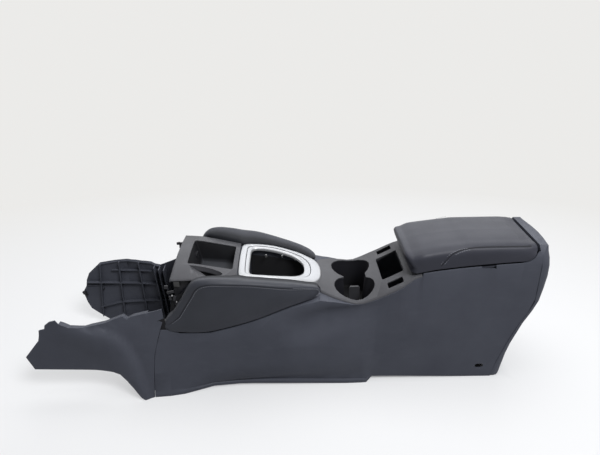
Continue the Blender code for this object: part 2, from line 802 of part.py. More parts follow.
def shift_bezel():
    """The bright outer ring round the shifter opening."""
    loops = [
        bezel_loop(1.0, -BEZEL_DEPTH), bezel_loop(1.0, -0.8, -0.3), bezel_loop(1.0, 0.4, -1.6),
        bezel_loop(0.7, 1.6), bezel_loop(0.42, 0.7), bezel_loop(0.4, -4.5),
        bezel_loop(0.4, -4.5, 1.8), bezel_loop(0.5, -1.4), bezel_loop(1.0, -2.4, -3.0),
        bezel_loop(1.0, -BEZEL_DEPTH, -1.8),
    ]
    return ring("shift_bezel", loops, "silver")


def shift_bezel_inner():
    """The inner ring that steps down into the opening, with its skirt."""
    loops = [
        bezel_loop(0.4, -1.2, -0.5), bezel_loop(0.05, -3.6), bezel_loop(0.0, -5.0),
        bezel_loop(0.0, -9.5), bezel_loop(0.0, -9.5, 1.8), bezel_loop(0.0, -7.0, 1.8),
        bezel_loop(0.4, -3.4, -1.0),
    ]
    return ring("shift_bezel_inner", loops, "silver")


def panel_grid(stations):
    """Points of an upper panel: its face and the edge rolled down on both sides."""
    grid = []
    for s in stations:
        half, edge = TRIM_EDGE(s)
        row = [(s, -(half + 1.2), edge - SKIRT), (s, -half, edge - 2.0)]
        places = [f * (half - PANEL) for f in FACE_FRACTIONS]
        row += [(s, y, top_z(s, y)) for y in places]
        row += [(s, half, edge - 2.0), (s, half + 1.2, edge - SKIRT)]
        grid.append(row)
    return grid


def panel_offsets(grid, thickness):
    """Inward offsets for the panel grid: down on the face, sideways on the rolled edges."""
    offsets = []
    for row in grid:
        count = len(row)
        line = []
        for j in range(count):
            if j == 0 or j == count - 1:
                line.append((0, thickness if j == 0 else -thickness, 0))
            elif j == 1 or j == count - 2:
                line.append((0, (1 if j == 1 else -1) * thickness * 0.9, -thickness * 0.4))
            else:
                line.append((0, 0, -thickness))
        offsets.append(line)
    return offsets


def cup_outline(grow=0.0):
    """The double cup opening: two circles that meet in an open neck, as (station, y)."""
    radius = CUP_RADIUS + grow
    meeting = max(radius**2 - (CUP_OFFSET - 0.6) ** 2, 0.0) ** 0.5
    behind = np.arccos(max(CUP_NECK_BEHIND + grow, meeting) / radius)
    ahead = np.arccos(max(CUP_NECK_AHEAD + grow, meeting) / radius)
    right = np.linspace(-behind, pi + ahead, CUP_STEPS)
    left = np.linspace(pi - ahead, 2 * pi + behind, CUP_STEPS)
    points = []
    for side, turns in ((1, right), (-1, left)):
        points += [
            (CUP_STATION + radius * cos(a), side * CUP_OFFSET + radius * sin(a)) for a in turns
        ]
    return points


def cup_panel():
    """The grey panel with the double cup opening, the tray opening and two switch openings."""
    stations = (596, 612, 630, 645, 660, 675, 690, 704, 718, 732, 750, 766, 782, 796, 812, TRIM_END - 1.5)
    grid = panel_grid(stations)
    panel = sheet("cup_panel", grid, panel_offsets(grid, PANEL), "grey")
    rim = [(s, y) for s, y, _ in bezel_loop(1.0, 0.0, 0.7)]
    cut(panel, prism("cup_panel_front_cutter", rim, "z", 150, 300))
    for side, name in ((-1, "left"), (1, "right")):
        nose = [(585, 49), (611, 49), (615.5, 58), (616, 100), (585, 100)]
        nose = [(s, side * y) for s, y in nose]
        cut(panel, prism(f"cup_panel_nose_cutter_{name}", nose, "z", 150, 300))
        centre = side * SWITCH_OFFSET
        low, high = SWITCH_STATION - SWITCH_LENGTH / 2, SWITCH_STATION + SWITCH_LENGTH / 2
        y0, y1 = centre - SWITCH_WIDTH / 2, centre + SWITCH_WIDTH / 2
        corners = [(low, y0), (high, y0), (high, y1), (low, y1)]
        cut(panel, prism(f"switch_opening_{name}", rounded(corners, 2.5, 3), "z", 180, 300))
    cut(panel, prism("cup_opening", cup_outline(), "z", 150, 260))
    tray = [(TRAY_FRONT, -TRAY_HALF), (TRAY_REAR, -TRAY_HALF)]
    tray += [(TRAY_REAR, TRAY_HALF), (TRAY_FRONT, TRAY_HALF)]
    cut(panel, prism("tray_opening", rounded(tray, 4, 3), "z", 180, 300))
    return join(panel, tray_collar(tray))


def tray_collar(corners):
    """The short wall that hangs below the panel round the tray opening."""
    inner = inset(rounded(corners, 4, 3), -0.05)
    outer = inset(inner, -TRIM_WALL)
    loops = [
        [(s, y, top_z(s, y) - drop) for s, y in outline]
        for outline, drop in ((inner, 0.9), (inner, 6.0), (outer, 6.0), (outer, 0.9))
    ]
    return ring("tray_collar", loops)


def cup_well():
    """The double cup moulding that hangs under the panel, open at the neck."""

    def level(grow, z):
        return [(s, y, z) for s, y in cup_outline(grow)]

    def rim(grow, drop):
        return [(s, y, top_z(s, y) - PANEL - PLAY * 3 - drop) for s, y in cup_outline(grow)]

    low = CUP_FLOOR_Z
    flange = CUP_WALL + CUP_FLANGE
    loops = [
        level(CUP_WALL - CUP_DRAFT - 3, low - CUP_WALL), level(CUP_WALL - CUP_DRAFT, low + 6),
        rim(CUP_WALL, 3.0), rim(flange, 2.0), rim(flange, 0.0), rim(0.3, 0.0),
        level(-CUP_DRAFT, low + 6), level(-CUP_DRAFT - 3, low),
    ]
    return loft("cup_well", loops, "black")


def cup_divider():
    """The upright tab that stands in the neck between the cups."""
    top = top_z(DIVIDER_STATION, 0) - DIVIDER_DROP
    base = CUP_FLOOR_Z + PLAY
    half = DIVIDER_WIDTH / 2
    face = [
        (DIVIDER_STATION - half, base), (DIVIDER_STATION + half, base),
        (DIVIDER_STATION + half - 1, top - 3), (DIVIDER_STATION + half - 4, top),
        (DIVIDER_STATION - half + 4, top), (DIVIDER_STATION - half + 1, top - 3),
    ]
    return prism("cup_divider", face, "y", -DIVIDER_THICKNESS / 2, DIVIDER_THICKNESS / 2, "grey")


POCKET_CORNERS = ((335, -43), (430, -49), (430, 53), (335, 66))
LEAF_OUTLINE = (
    (341, -50), (356, -50.5), (373, -52), (390, -56), (403, -61), (411, -67), (410, -73),
    (400, -78), (377, -82.5), (364, -79), (352, -70), (344, -60),
)
LEAF_HOLE = (
    (353, -52), (372, -53.5), (389, -57.5), (402, -62.5), (408.5, -67.5), (408.5, -72), (399, -76),
    (386, -79), (376, -69), (364, -58),
)


def tray_trim():
    """The grey finish ahead of the bezel, with the pocket opening and a dished leaf opening."""
    stations = (TRIM_FRONT, TRIM_FRONT + 6, 326, 350, 382, 412, 439.8)
    grid = panel_grid(stations)
    trim = sheet("tray_trim", grid, panel_offsets(grid, PANEL), "grey")
    lip = []
    half = TRIM_EDGE(TRIM_FRONT)[0]
    for y in [f * half for f in FACE_FRACTIONS]:
        z = top_z(TRIM_FRONT, y)
        profile = ((0.3, 0.6), (-1.2, 3.0), (-1.8, 7.0))
        lip.append([(TRIM_FRONT + step, y, z - drop) for step, drop in profile])
    join(trim, sheet("tray_trim_lip", lip, [[(PANEL, 0, 0)] * 3] * len(lip)))
    cut(trim, prism("pocket_opening", rounded(list(POCKET_CORNERS), 5), "z", 200, 320))
    cut(trim, prism("leaf_opening", list(LEAF_OUTLINE), "z", 200, 320))
    rim = resample(LEAF_OUTLINE, 22)
    hole = resample(LEAF_HOLE, 22)
    hole = align(rim, hole)
    loops = [
        [(s, y, top_z(s, y) - 0.5) for s, y in inset(rim, -0.4)],
        [(s, y, top_z(s, y) - 9.0) for s, y in hole],
        [(s, y, top_z(s, y) - 11.0) for s, y in hole],
        [(s, y, top_z(s, y) - 2.6) for s, y in inset(rim, -2.0)],
    ]
    join(trim, ring("leaf_dish", loops))
    return trim


def resample(outline, count):
    """Points at even spacing round a closed outline."""
    points = np.array(list(outline) + [outline[0]], float)
    lengths = np.concatenate([[0], np.cumsum(np.hypot(*np.diff(points, axis=0).T))])
    places = np.linspace(0, lengths[-1], count, endpoint=False)
    return [
        (float(np.interp(p, lengths, points[:, 0])), float(np.interp(p, lengths, points[:, 1])))
        for p in places
    ]


def align(reference, outline):
    """The outline's points turned round until they lie nearest the reference's."""
    a, b = np.array(reference), np.array(outline)
    shifts = [np.sum((a - np.roll(b, k, axis=0)) ** 2) for k in range(len(b))]
    return [tuple(p) for p in np.roll(b, int(np.argmin(shifts)), axis=0)]


def pocket_bin():
    """The black bin under the pocket opening, its front wall bored for the power outlet."""
    rim = rounded(list(POCKET_CORNERS), 5)
    floor_z = min(top_z(s, y) for s, y in rim) - PANEL - POCKET_DEPTH

    def hung(outline, drop):
        return [(s, y, top_z(s, y) - PANEL - PLAY * 3 - drop) for s, y in outline]

    def floor(outline, z):
        return [(s + max(0.0, 372 - s) * 0.36, y * 0.97, z) for s, y in outline]

    flange = inset(rim, -5)
    outer = inset(rim, -BIN_WALL)
    loops = [
        floor(outer, floor_z - BIN_WALL), hung(outer, 2.5), hung(flange, 2), hung(flange, 0),
        hung(inset(rim, -0.2), 0), floor(inset(rim, 2), floor_z),
    ]
    made = loft("pocket_bin", loops, "black")
    cut(made, outlet_rod("pocket_outlet_hole", OUTLET_RADIUS, 30, 0))
    return made


OUTLET_MIDDLE = (340.0, 40.0, 247.0)
OUTLET_TILT = radians(-20)


def outlet_rod(name, radius, length, shift, look=None):
    """A cylinder on the outlet's slanted axis, moved forward along it by the shift."""
    turns = [2 * pi * k / 16 for k in range(16)]
    along = (-cos(OUTLET_TILT), sin(OUTLET_TILT))
    up = (sin(OUTLET_TILT), cos(OUTLET_TILT))
    sections = []
    for end in (shift - length / 2, shift + length / 2):
        section = []
        for t in turns:
            a, b = radius * cos(t), radius * sin(t)
            section.append(
                (
                    OUTLET_MIDDLE[0] + along[0] * end - up[0] * b,
                    OUTLET_MIDDLE[1] + a,
                    OUTLET_MIDDLE[2] + along[1] * end + up[1] * b,
                )
            )
        sections.append(section)
    return loft(name, sections, look)


def outlet_socket():
    """The power outlet's barrel, behind the pocket's front wall."""
    mouth = 0.8
    shift = OUTLET_LENGTH / 2 - mouth
    barrel = outlet_rod("outlet_socket", OUTLET_RADIUS - PLAY, OUTLET_LENGTH, shift, "black")
    bore = outlet_rod("outlet_bore", OUTLET_RADIUS - OUTLET_WALL, OUTLET_LENGTH, shift - OUTLET_WALL)
    return cut(barrel, bore)


# Knee pads, outlined by their crease: station, half and z, with the edge each point belongs to
PAD_FRONT = (
    (291, 112.5, 161), (296, 113.5, 170), (310, 115, 186), (331, 118, 220), (346, 121, 246),
    (357, 123, 264),
)
PAD_TOP = (
    (368, 124, 272), (384, 124.3, 275), (410, 123, 274), (440, 120, 271), (475, 117.5, 267.3),
    (505, 112.5, 260.5), (535, 106, 253), (562, 99, 245.5), (585, 92, 236.5), (600, 84, 227),
)
PAD_TIP = ((609, 77, 219), (611, 76, 214.5))
PAD_UNDER = (
    (604, 84, 211), (586, 94, 209.5), (548, 104.5, 201), (486, 112.5, 179), (424, 116, 161),
    (375, 116.5, 150), (320, 115, 150), (299, 113.5, 153),
)


def pad_crease():
    """The crease as a closed loop of (station, half, z), with equal counts above and below the face."""
    above = np.array(PAD_FRONT + PAD_TOP + PAD_TIP, float)
    below = np.array(PAD_TIP[-1:] + PAD_UNDER + PAD_FRONT[:1], float)
    found = []
    for edge in (above, below):
        lengths = np.concatenate([[0], np.cumsum(np.linalg.norm(np.diff(edge, axis=0), axis=1))])
        lines = [Spline(lengths, edge[:, k]) for k in range(3)]
        places = np.linspace(0, lengths[-1], PAD_PAIRS, endpoint=False)
        found += [[line(p) for line in lines] for p in places]
    return np.array(found)


class Spline:
    """A round line through points, with the slope at each taken from its neighbours."""

    def __init__(self, places, values):
        self.places, self.values = places, values
        self.slopes = np.gradient(values, places)

    def __call__(self, place):
        i = min(max(np.searchsorted(self.places, place) - 1, 0), len(self.places) - 2)
        step = self.places[i + 1] - self.places[i]
        t = (place - self.places[i]) / step
        return (
            (1 + 2 * t) * (1 - t) ** 2 * self.values[i]
            + t * (1 - t) ** 2 * step * self.slopes[i]
            + t * t * (3 - 2 * t) * self.values[i + 1]
            - t * t * (1 - t) * step * self.slopes[i + 1]
        )


def pad_frames():
    """Crease points with their inward directions in the side view and their seats on the body."""
    crease = pad_crease()
    inward = inward_of(crease[:, (0, 2)])
    seats = []
    for (s, half, z), (ahead, lift) in zip(crease, inward):
        topness = min(max(-lift * 1.6 - 0.35, 0.0), 1.0)
        edge, edge_z = TRIM_EDGE(s)
        if s < 441:
            edge, edge_z = edge + SEAM + 1.4, edge_z - 1.0
        else:
            rim = bezel_half(s)
            edge, edge_z = rim + SEAM + 1.0, bezel_z(s, rim) - 0.6
        plain = (half - PAD_ROLL * (1.0 if lift < 0.2 else 0.65), z)
        if s > 560:
            plain = (max(plain[0], TRIM_EDGE(s)[0] + 8.5), z)
        facing = min(max(ahead * 2.5 - 0.6, 0.0), 1.0)
        lean = PAD_LEAN * facing * (1 - topness) * min(max((z - 160) / 30, 0.0), 1.0)
        seats.append((
            s - ahead * lean,
            plain[0] * (1 - topness) + edge * topness,
            plain[1] * (1 - topness) + edge_z * topness - lift * lean,
        ))
    return crease, inward, np.array(seats)


def bezel_half(station):
    """Half-width of the bezel's rim at a station."""
    points = [p for p in BEZEL_HALF_OUTLINE if p[0] >= 442.5]
    return float(np.interp(station, [p[0] for p in points], [p[1] for p in points]))


def pad_loop(crease, inward, seats, reach, roll, back):
    """A loop of the pad's skin. Reach is how far inside the crease it lies, roll how far from the
    face towards the seat, and back how deep under the outer skin."""
    loop = []
    for k, (edge, (ds, dz), seat) in enumerate(zip(crease, inward, seats)):
        base_s, base_half, base_z = edge + (seat - edge) * roll
        width = hypot(*(crease[k] - crease[-k])[[0, 2]])
        depth = (reach + back) * min(1.0, max(0.25, width / PAD_FULL_WIDTH))
        loop.append((base_s + ds * depth, base_half - (back if roll < 0.9 else 0), base_z + dz * depth))
    return loop


def bolster(name, side, clearance, thickness, shape, look, draw=0.0):
    """A hollow bolster open towards the body, set in from the pad's outer skin by the clearance.
    Draw is the share by which its narrow rear end is shortened."""
    crease, inward, seats = pad_frames()
    outer = [pad_loop(crease, inward, seats, r, roll, clearance) for r, roll in shape]
    inner = [pad_loop(crease, inward, seats, r, roll, clearance + thickness) for r, roll in PAD_LINING]
    loops = [
        [(s - max(s - BACKING_NARROWS, 0.0) * draw, side * half, z) for s, half, z in loop]
        for loop in outer + inner
    ]
    count = len(loops[0])
    points = [p for loop in loops for p in loop]
    faces = []
    for k in range(len(loops)):
        after = (k + 1) % len(loops)
        if after == len(outer):
            continue
        for i in range(count):
            j = (i + 1) % count
            faces.append((k * count + i, k * count + j, after * count + j, after * count + i))
    for level in (len(outer) - 1, len(outer)):
        faces += face_cap(points, level * count, side)
    return mesh_object(name, points, faces, look)


def face_cap(points, start, side):
    """Fills a pad's face with strips from its upper to its lower edge, crowned along the middle."""
    middle = [start]
    for i in range(1, PAD_PAIRS):
        above, below = points[start + i], points[start + 2 * PAD_PAIRS - i]
        s, y, z = (np.array(above) + np.array(below)) / 2
        middle.append(len(points))
        points.append((s, y + side * PAD_CROWN * sin(pi * i / PAD_PAIRS), z))
    middle.append(start + PAD_PAIRS)
    faces = []
    for i in range(PAD_PAIRS):
        above, above_next = start + i, start + i + 1
        below, below_next = start + (2 * PAD_PAIRS - i) % (2 * PAD_PAIRS), start + 2 * PAD_PAIRS - i - 1
        for near, far in ((above, above_next), (below, below_next)):
            corners = [near, far, middle[i + 1], middle[i]]
            faces.append(tuple(dict.fromkeys(corners)))
    return faces


PAD_SHAPE = ((0.0, 1.0), (0.3, 0.5), (0.0, 0.13), (2.0, -0.02), (9.0, -0.05))
PAD_LINING = ((9.0, -0.05), (0.0, 0.13), (0.0, 1.0))
BACKING_SHAPE = PAD_LINING[::-1]


def knee_pad(side, name):
    return bolster(f"knee_pad_{name}", side, 0.0, PAD_FOAM, PAD_SHAPE, "leather")


def knee_backing(side, name):
    """The hard backing inside a bolster, which stops short of the pad's narrow tip."""
    room = PAD_FOAM + PAD_ROOM
    return bolster(
        f"knee_backing_{name}", side, room, PAD_BACKING, BACKING_SHAPE, "black", BACKING_DRAW
    )


# Storage bin
def storage_bin():
    """The deep bin under the armrest, hung by its flange from the deck."""
    wide = bin_outline(BIN_FLANGE, 18)
    mouth = bin_outline(0.0, 14)
    inside = inset(mouth, BIN_WALL)
    low = LID_LOWER(BIN_FRONT) - BIN_DEPTH

    def on_deck(outline, rise):
        return [(s, y, deck_z(s, y) + rise) for s, y in outline]

    def floor(outline, z):
        return [((s - BIN_MIDDLE) * 0.93 + BIN_MIDDLE, y * 0.93, z) for s, y in outline]

    rim = PLAY + BIN_WALL
    loops = [
        floor(mouth, low - BIN_WALL), on_deck(mouth, PLAY - 0.2), on_deck(wide, PLAY), on_deck(wide, rim),
        on_deck(inside, rim), floor(inset(inside, 0.5), low),
    ]
    return loft("storage_bin", loops, "black")


def bin_mat():
    """The loose mat on the bin's floor."""
    low = LID_LOWER(BIN_FRONT) - BIN_DEPTH
    plan = rounded(bin_corners(-BIN_WALL - 1), 12)
    outline = [((s - BIN_MIDDLE) * 0.9 + BIN_MIDDLE, y * 0.9) for s, y in plan]
    return prism("bin_mat", outline, "z", low + PLAY, low + PLAY + MAT_THICKNESS, "rubber")


# Armrest lid
LID_STATIONS = (
    LID_FRONT, LID_FRONT + 1.5, LID_FRONT + 4, LID_FRONT + 8, LID_FRONT + 14, LID_FRONT + 22,
    828, 845, 870, 905, 945, 985, 1020, 1040, HINGE_STATION,
    HINGE_STATION + 3.3, HINGE_STATION + 6.1, HINGE_STATION + 7.9, LID_REAR,
)
LID_INNER_STATIONS = (828, 850, 905, 985, 1020)
LID_INNER_REAR = 1044.0
LID_HEEL = ((1036, 283), (1040, 288), (1046.5, 291.5), (1052, 297), (1056.5, 303.5), (1059, 308))
LID_BULGE = Line((800, 4.0), (1010, 4.0), (1030, 3.0), (HINGE_STATION - 1, 0.0), (1070, 0.0))


def lid_top(station):
    """Height of the lid's crease, which turns down on an arc about the hinge at the rear."""
    if station > HINGE_STATION:
        return HINGE_Z + max(HINGE_REACH**2 - (station - HINGE_STATION) ** 2, 0.0) ** 0.5
    return LID_CREASE(station)[1]


def arc_inset(distance, radius):
    """How far a rounded corner lies inside the square one, at a distance from its end."""
    left = min(max(radius - distance, 0.0), radius)
    return radius - (radius**2 - left**2) ** 0.5


def lid_section(station, inward, lower):
    """A section of the lid, set in from its outer skin, down to the lower height."""
    drawn = arc_inset(station - LID_FRONT, LID_NOSE_PLAN) + arc_inset(LID_REAR - station, LID_HEEL_PLAN)
    half = LID_CREASE(station)[0] - drawn - inward
    top = lid_top(station) - 0.7 * arc_inset(station - LID_FRONT, LID_NOSE_RISE) - inward
    side = LID_HALF - drawn - inward
    bulge = LID_BULGE(station)
    reference = LID_LOWER(station)
    points = [(side, lower), (side, max(lower, reference + (top - reference) * 0.35))]
    points += [(half + 1.6, max(lower, top - 8)), (half - 1.5, max(lower, top - 2.2))]
    points += [(half - 7, top + bulge * 0.05), (half * 0.6, top + bulge * 0.7), (0, top + bulge)]
    return both_sides(station, points)


def lid_pad():
    """The soft armrest cover: crowned on top, wrapped down to the lid's lower edge."""
    sections = [lid_section(s, 0.0, min(LID_LOWER(s), lid_top(s) - 1.0)) for s in LID_STATIONS]
    pad = loft("lid_pad", sections, "armrest")
    places = (LID_FRONT + LID_NOSE,) + LID_INNER_STATIONS + (LID_INNER_REAR,)
    inner = [lid_section(s, LID_SKIN, 240.0) for s in places]
    cut(pad, loft("lid_pad_hollow", inner))
    heel = [(1030, 250), (1034, 280)] + list(LID_HEEL) + [(1090, 308), (1090, 250)]
    cut(pad, prism("lid_pad_heel_cutter", heel, "y", -120, 120))
    room = HINGE_KNUCKLE + EAR_PLAY
    turns = [radians(a) for a in (-60, -30, 0, 30, 60, 90)]
    arch = [(HINGE_STATION + room * sin(a), HINGE_Z + room * cos(a)) for a in turns]
    slot_front = LID_INNER_REAR - 4
    slot = [(slot_front, 250), (slot_front, HINGE_Z - 0.5)] + arch + [(1090, HINGE_Z), (1090, 250)]
    cut(pad, prism("lid_pad_hinge_slot", slot, "y", -HINGE_HALF - 1, HINGE_HALF + 1))
    return hung_on_hinge(pad)


def hung_on_hinge(obj):
    """Puts a moving piece's origin on the hinge's axis, with its shape left where it is."""
    axis = Vector(((HINGE_STATION - LENGTH / 2) * MM, 0, HINGE_Z * MM))
    obj.data.transform(Matrix.Translation(-axis))
    obj.location = axis
    return obj


def lid_base():
    """The hard inner shell of the lid, with its ribs and hinge knuckles."""
    gap = LID_SKIN + PLAY
    front, rear = LID_FRONT + LID_NOSE + PLAY, LID_INNER_REAR - PLAY
    outer = [lid_section(s, gap, LID_LOWER(s) + 1.0) for s in (front,) + LID_INNER_STATIONS + (rear,)]
    base = loft("lid_base", outer, "black")
    places = (front + LID_BASE_WALL,) + LID_INNER_STATIONS + (rear - LID_BASE_WALL,)
    cut(base, loft("lid_base_hollow", [lid_section(s, gap + LID_BASE_WALL, 240.0) for s in places]))
    for k, y in enumerate((-40, 0, 40)):
        join(base, box(f"lid_rib_{k}", (880, 1010), (y - 1, y + 1), (288, 306)))
    widths = ((-HINGE_HALF, -EAR_TO - EAR_PLAY), (-EAR_FROM + EAR_PLAY, EAR_FROM - EAR_PLAY))
    widths += ((EAR_TO + EAR_PLAY, HINGE_HALF),)
    for k, (low, high) in enumerate(widths):
        arm = box(f"lid_arm_{k}", (rear - 2, HINGE_STATION - 2), (low, high), (304.3, 309.4))
        middle = (HINGE_STATION, (low + high) / 2, HINGE_Z)
        join(base, arm, rod(f"lid_knuckle_{k}", middle, HINGE_KNUCKLE, high - low))
    cut(base, hinge_bore("lid_base_bore"))
    return hung_on_hinge(base)


def hinge_bore(name):
    radius = HINGE_PIN_RADIUS + HINGE_PIN_PLAY
    return rod(name, (HINGE_STATION, 0, HINGE_Z), radius, HINGE_HALF * 2 + 10)


def hinge_pin():
    """The steel pin of the lid's hinge."""
    middle = (HINGE_STATION, 0, HINGE_Z)
    return hung_on_hinge(rod("hinge_pin", middle, HINGE_PIN_RADIUS, HINGE_HALF * 2, "steel"))


def hinge_bracket():
    """The fixed half of the hinge: a plate on the deck with two upright ears."""
    low = deck_z(HINGE_STATION) + PLAY
    stations, levels = (HINGE_STATION - 6, HINGE_STATION + 8), (low, low + BRACKET_PLATE)
    plate = box("hinge_bracket", stations, (-EAR_TO, EAR_TO), levels, "steel")
    for side, name in ((-1, "left"), (1, "right")):
        ys = sorted((side * EAR_FROM, side * EAR_TO))
        web = box(f"bracket_web_{name}", (HINGE_STATION - 6, HINGE_STATION), ys, (low + 1, HINGE_Z))
        middle = (HINGE_STATION, side * (EAR_FROM + EAR_TO) / 2, HINGE_Z)
        join(plate, web, rod(f"bracket_ear_{name}", middle, HINGE_KNUCKLE, EAR_TO - EAR_FROM))
        hole = (BRACKET_SCREW_STATION, side * BRACKET_SCREW_Y, low)
        cut(plate, rod(f"bracket_hole_{name}", hole, SCREW_RADIUS + 0.3, 20, axis="z", sides=16))
    cut(plate, hinge_bore("bracket_bore"))
    return plate


def screw(name, station, y, seat):
    """A pan-head screw, pointing down, whose head sits just over the seat height."""
    under = seat + 0.2
    middle = (station, y, under + SCREW_HEAD_HEIGHT / 2)
    head = rod(name, middle, SCREW_HEAD, SCREW_HEAD_HEIGHT, "steel", 16, "z")
    middle = (station, y, under + 0.5 - SCREW_LENGTH / 2)
    shank = rod(f"{name}_shank", middle, SCREW_RADIUS, SCREW_LENGTH, sides=12, axis="z")
    slot = box(f"{name}_slot", (station - 0.5, station + 0.5), (y - 3, y + 3), (under + 1.4, under + 5))
    join(head, shank)
    return cut(head, slot)


def lid_bumper(side, name):
    """A rubber stop on the deck that carries the closed lid's edge."""
    stations = (838, 850)
    low = max(deck_z(s) for s in stations) + PLAY
    high = min(LID_LOWER(s) for s in stations) + 1.0 - PLAY
    ys = sorted((side * 68.4, side * 72.4))
    return box(f"lid_bumper_{name}", stations, ys, (low, high), "rubber")


def front_carrier():
    """The dark frame under the front of the tray trim: a cross wall, two cheeks and a locating tab."""
    ys = (-87, -60, -30, 0, 30, 60, 87)
    front = TRIM_FRONT + 4
    wall = [[(front, y, top_z(front, y) - PANEL - PLAY * 2), (front, y, 236)] for y in ys]
    carrier = sheet("front_carrier", wall, [[(2.2, 0, 0)] * 2] * len(ys), "black")
    for side, name in ((-1, "left"), (1, "right")):
        grid = []
        for s, low in ((front, 223), (front + 5, 223), (331, 240), (343, 250)):
            high = top_z(s, 90) - PANEL - PLAY * 3
            grid.append([(s, side * CHEEK_HALF, high), (s, side * CHEEK_HALF, low)])
        join(carrier, sheet(f"carrier_cheek_{name}", grid, [[(0, -side * 2.4, 0)] * 2] * len(grid)))
    join(carrier, box("carrier_tab", (front - 12, front + 0.5), (80, 89), (239, 247)))
    return carrier


def trim_clip(side, name):
    """A spring clip between the carrier's cheek and the trim's skirt."""
    ys = sorted((side * (CHEEK_HALF + 0.3), side * (CHEEK_HALF + 4.8)))
    front, rear = TRIM_FRONT + 5, TRIM_FRONT + 17
    clip = box(f"trim_clip_{name}", (front, rear), ys, (247, 259.5), "steel")
    groove = sorted((side * (CHEEK_HALF + 1.6), side * (CHEEK_HALF + 3.5)))
    return cut(clip, box(f"clip_gap_{name}", (front - 2, rear + 2), groove, (249.5, 262)))


def build():
    for obj in list(bpy.data.objects):
        bpy.data.objects.remove(obj, do_unlink=True)
    console_body()
    rear_panel()
    front_finisher_left()
    front_finisher_right()
    shift_bezel()
    shift_bezel_inner()
    cup_panel()
    cup_well()
    cup_divider()
    tray_trim()
    pocket_bin()
    outlet_socket()
    for side, name in ((-1, "left"), (1, "right")):
        knee_pad(side, name)
        knee_backing(side, name)
    storage_bin()
    bin_mat()
    lid_pad()
    lid_base()
    hinge_bracket()
    hinge_pin()
    seat = deck_z(HINGE_STATION) + PLAY + BRACKET_PLATE
    screw("bracket_screw_left", BRACKET_SCREW_STATION, -BRACKET_SCREW_Y, seat)
    screw("bracket_screw_right", BRACKET_SCREW_STATION, BRACKET_SCREW_Y, seat)
    front_carrier()
    for side, name in ((-1, "left"), (1, "right")):
        lid_bumper(side, name)
        trim_clip(side, name)


build()
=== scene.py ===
"""Looks of the centre console: moulded plastics, satin silver surround, padded knee sides and armrest.

The sizes in this script are in millimetres, as in the part's source, and turned into metres where a mesh
is made. A station is the distance behind the console's front tip.
"""

import json
from math import cos, hypot, pi, radians, sin

import bmesh
import bpy
import numpy as np
from mathutils import Matrix, Vector


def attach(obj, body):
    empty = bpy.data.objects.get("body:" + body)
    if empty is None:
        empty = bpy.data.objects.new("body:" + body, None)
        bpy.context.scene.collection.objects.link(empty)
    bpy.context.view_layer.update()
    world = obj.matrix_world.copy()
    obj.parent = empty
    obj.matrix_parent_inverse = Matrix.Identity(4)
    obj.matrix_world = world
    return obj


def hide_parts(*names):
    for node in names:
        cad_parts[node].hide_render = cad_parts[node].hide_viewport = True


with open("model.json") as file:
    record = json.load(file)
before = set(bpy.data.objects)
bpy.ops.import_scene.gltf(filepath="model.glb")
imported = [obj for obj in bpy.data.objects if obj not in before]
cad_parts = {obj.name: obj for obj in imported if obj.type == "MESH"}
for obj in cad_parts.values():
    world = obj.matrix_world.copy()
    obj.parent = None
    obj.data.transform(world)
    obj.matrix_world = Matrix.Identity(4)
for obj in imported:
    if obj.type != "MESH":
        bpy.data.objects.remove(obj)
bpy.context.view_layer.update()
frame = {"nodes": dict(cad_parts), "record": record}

MM = 0.001
HALF_LENGTH = 550.0


def place(station, y, z):
    """A point of the console in metres."""
    return ((station - HALF_LENGTH) * MM, y * MM, z * MM)


def added(name, data):
    """A new object of this name in the scene."""
    made = bpy.data.objects.new(name, data)
    bpy.context.scene.collection.objects.link(made)
    return made


# Shader maths


class Value:
    """A socket that takes part in Python's sums, each of which adds a Math node."""

    def __init__(self, nodes, socket):
        self.nodes = nodes
        self.socket = socket

    def math(self, operation, *others, clamp=False):
        node = self.nodes.tree.nodes.new("ShaderNodeMath")
        node.operation = operation
        node.use_clamp = clamp
        for number, value in enumerate((self, *others)):
            self.nodes.feed(node.inputs[number], value)
        return Value(self.nodes, node.outputs[0])

    def __add__(self, other):
        return self.math("ADD", other)

    def __mul__(self, other):
        return self.math("MULTIPLY", other)

    def __sub__(self, other):
        return self.math("SUBTRACT", other)

    def __rsub__(self, other):
        return (self * -1) + other

    __radd__ = __add__
    __rmul__ = __mul__

    def step(self, low, high):
        """0 below low, 1 above high, with a straight ramp between."""
        return ((self - low) * (1.0 / (high - low))).math("ADD", 0.0, clamp=True)


class Nodes:
    """The node tree of a material or of the world."""

    def __init__(self, tree):
        self.tree = tree

    def feed(self, socket, value):
        if isinstance(value, Value):
            self.tree.links.new(value.socket, socket)
        else:
            socket.default_value = value

    def node(self, kind, settings=None, **inputs):
        """Adds a node and returns its outputs by name, wrapped."""
        node = self.tree.nodes.new(kind)
        for key, value in (settings or {}).items():
            setattr(node, key, value)
        for key, value in inputs.items():
            self.feed(by_name(node)[key], value)
        return {s.name: Value(self, s) for s in node.outputs}

    def mixed(self, share, low, high):
        """A shader between two shaders, by the share."""
        node = self.tree.nodes.new("ShaderNodeMixShader")
        for socket, value in zip(node.inputs, (share, low, high)):
            self.feed(socket, value)
        return Value(self, node.outputs[0])

    def looked_at(self):
        """1 for the rays that see a thing itself or its image, 0 for those that only bring its light."""
        rays = self.node("ShaderNodeLightPath")
        seen = rays["Is Camera Ray"].math("MAXIMUM", rays["Is Glossy Ray"])
        return seen.math("MAXIMUM", rays["Is Transmission Ray"])


def by_name(node):
    """A node's inputs by name; of inputs that share a name, the first."""
    return {socket.name.replace(" ", "_"): socket for socket in reversed(node.inputs[:])}


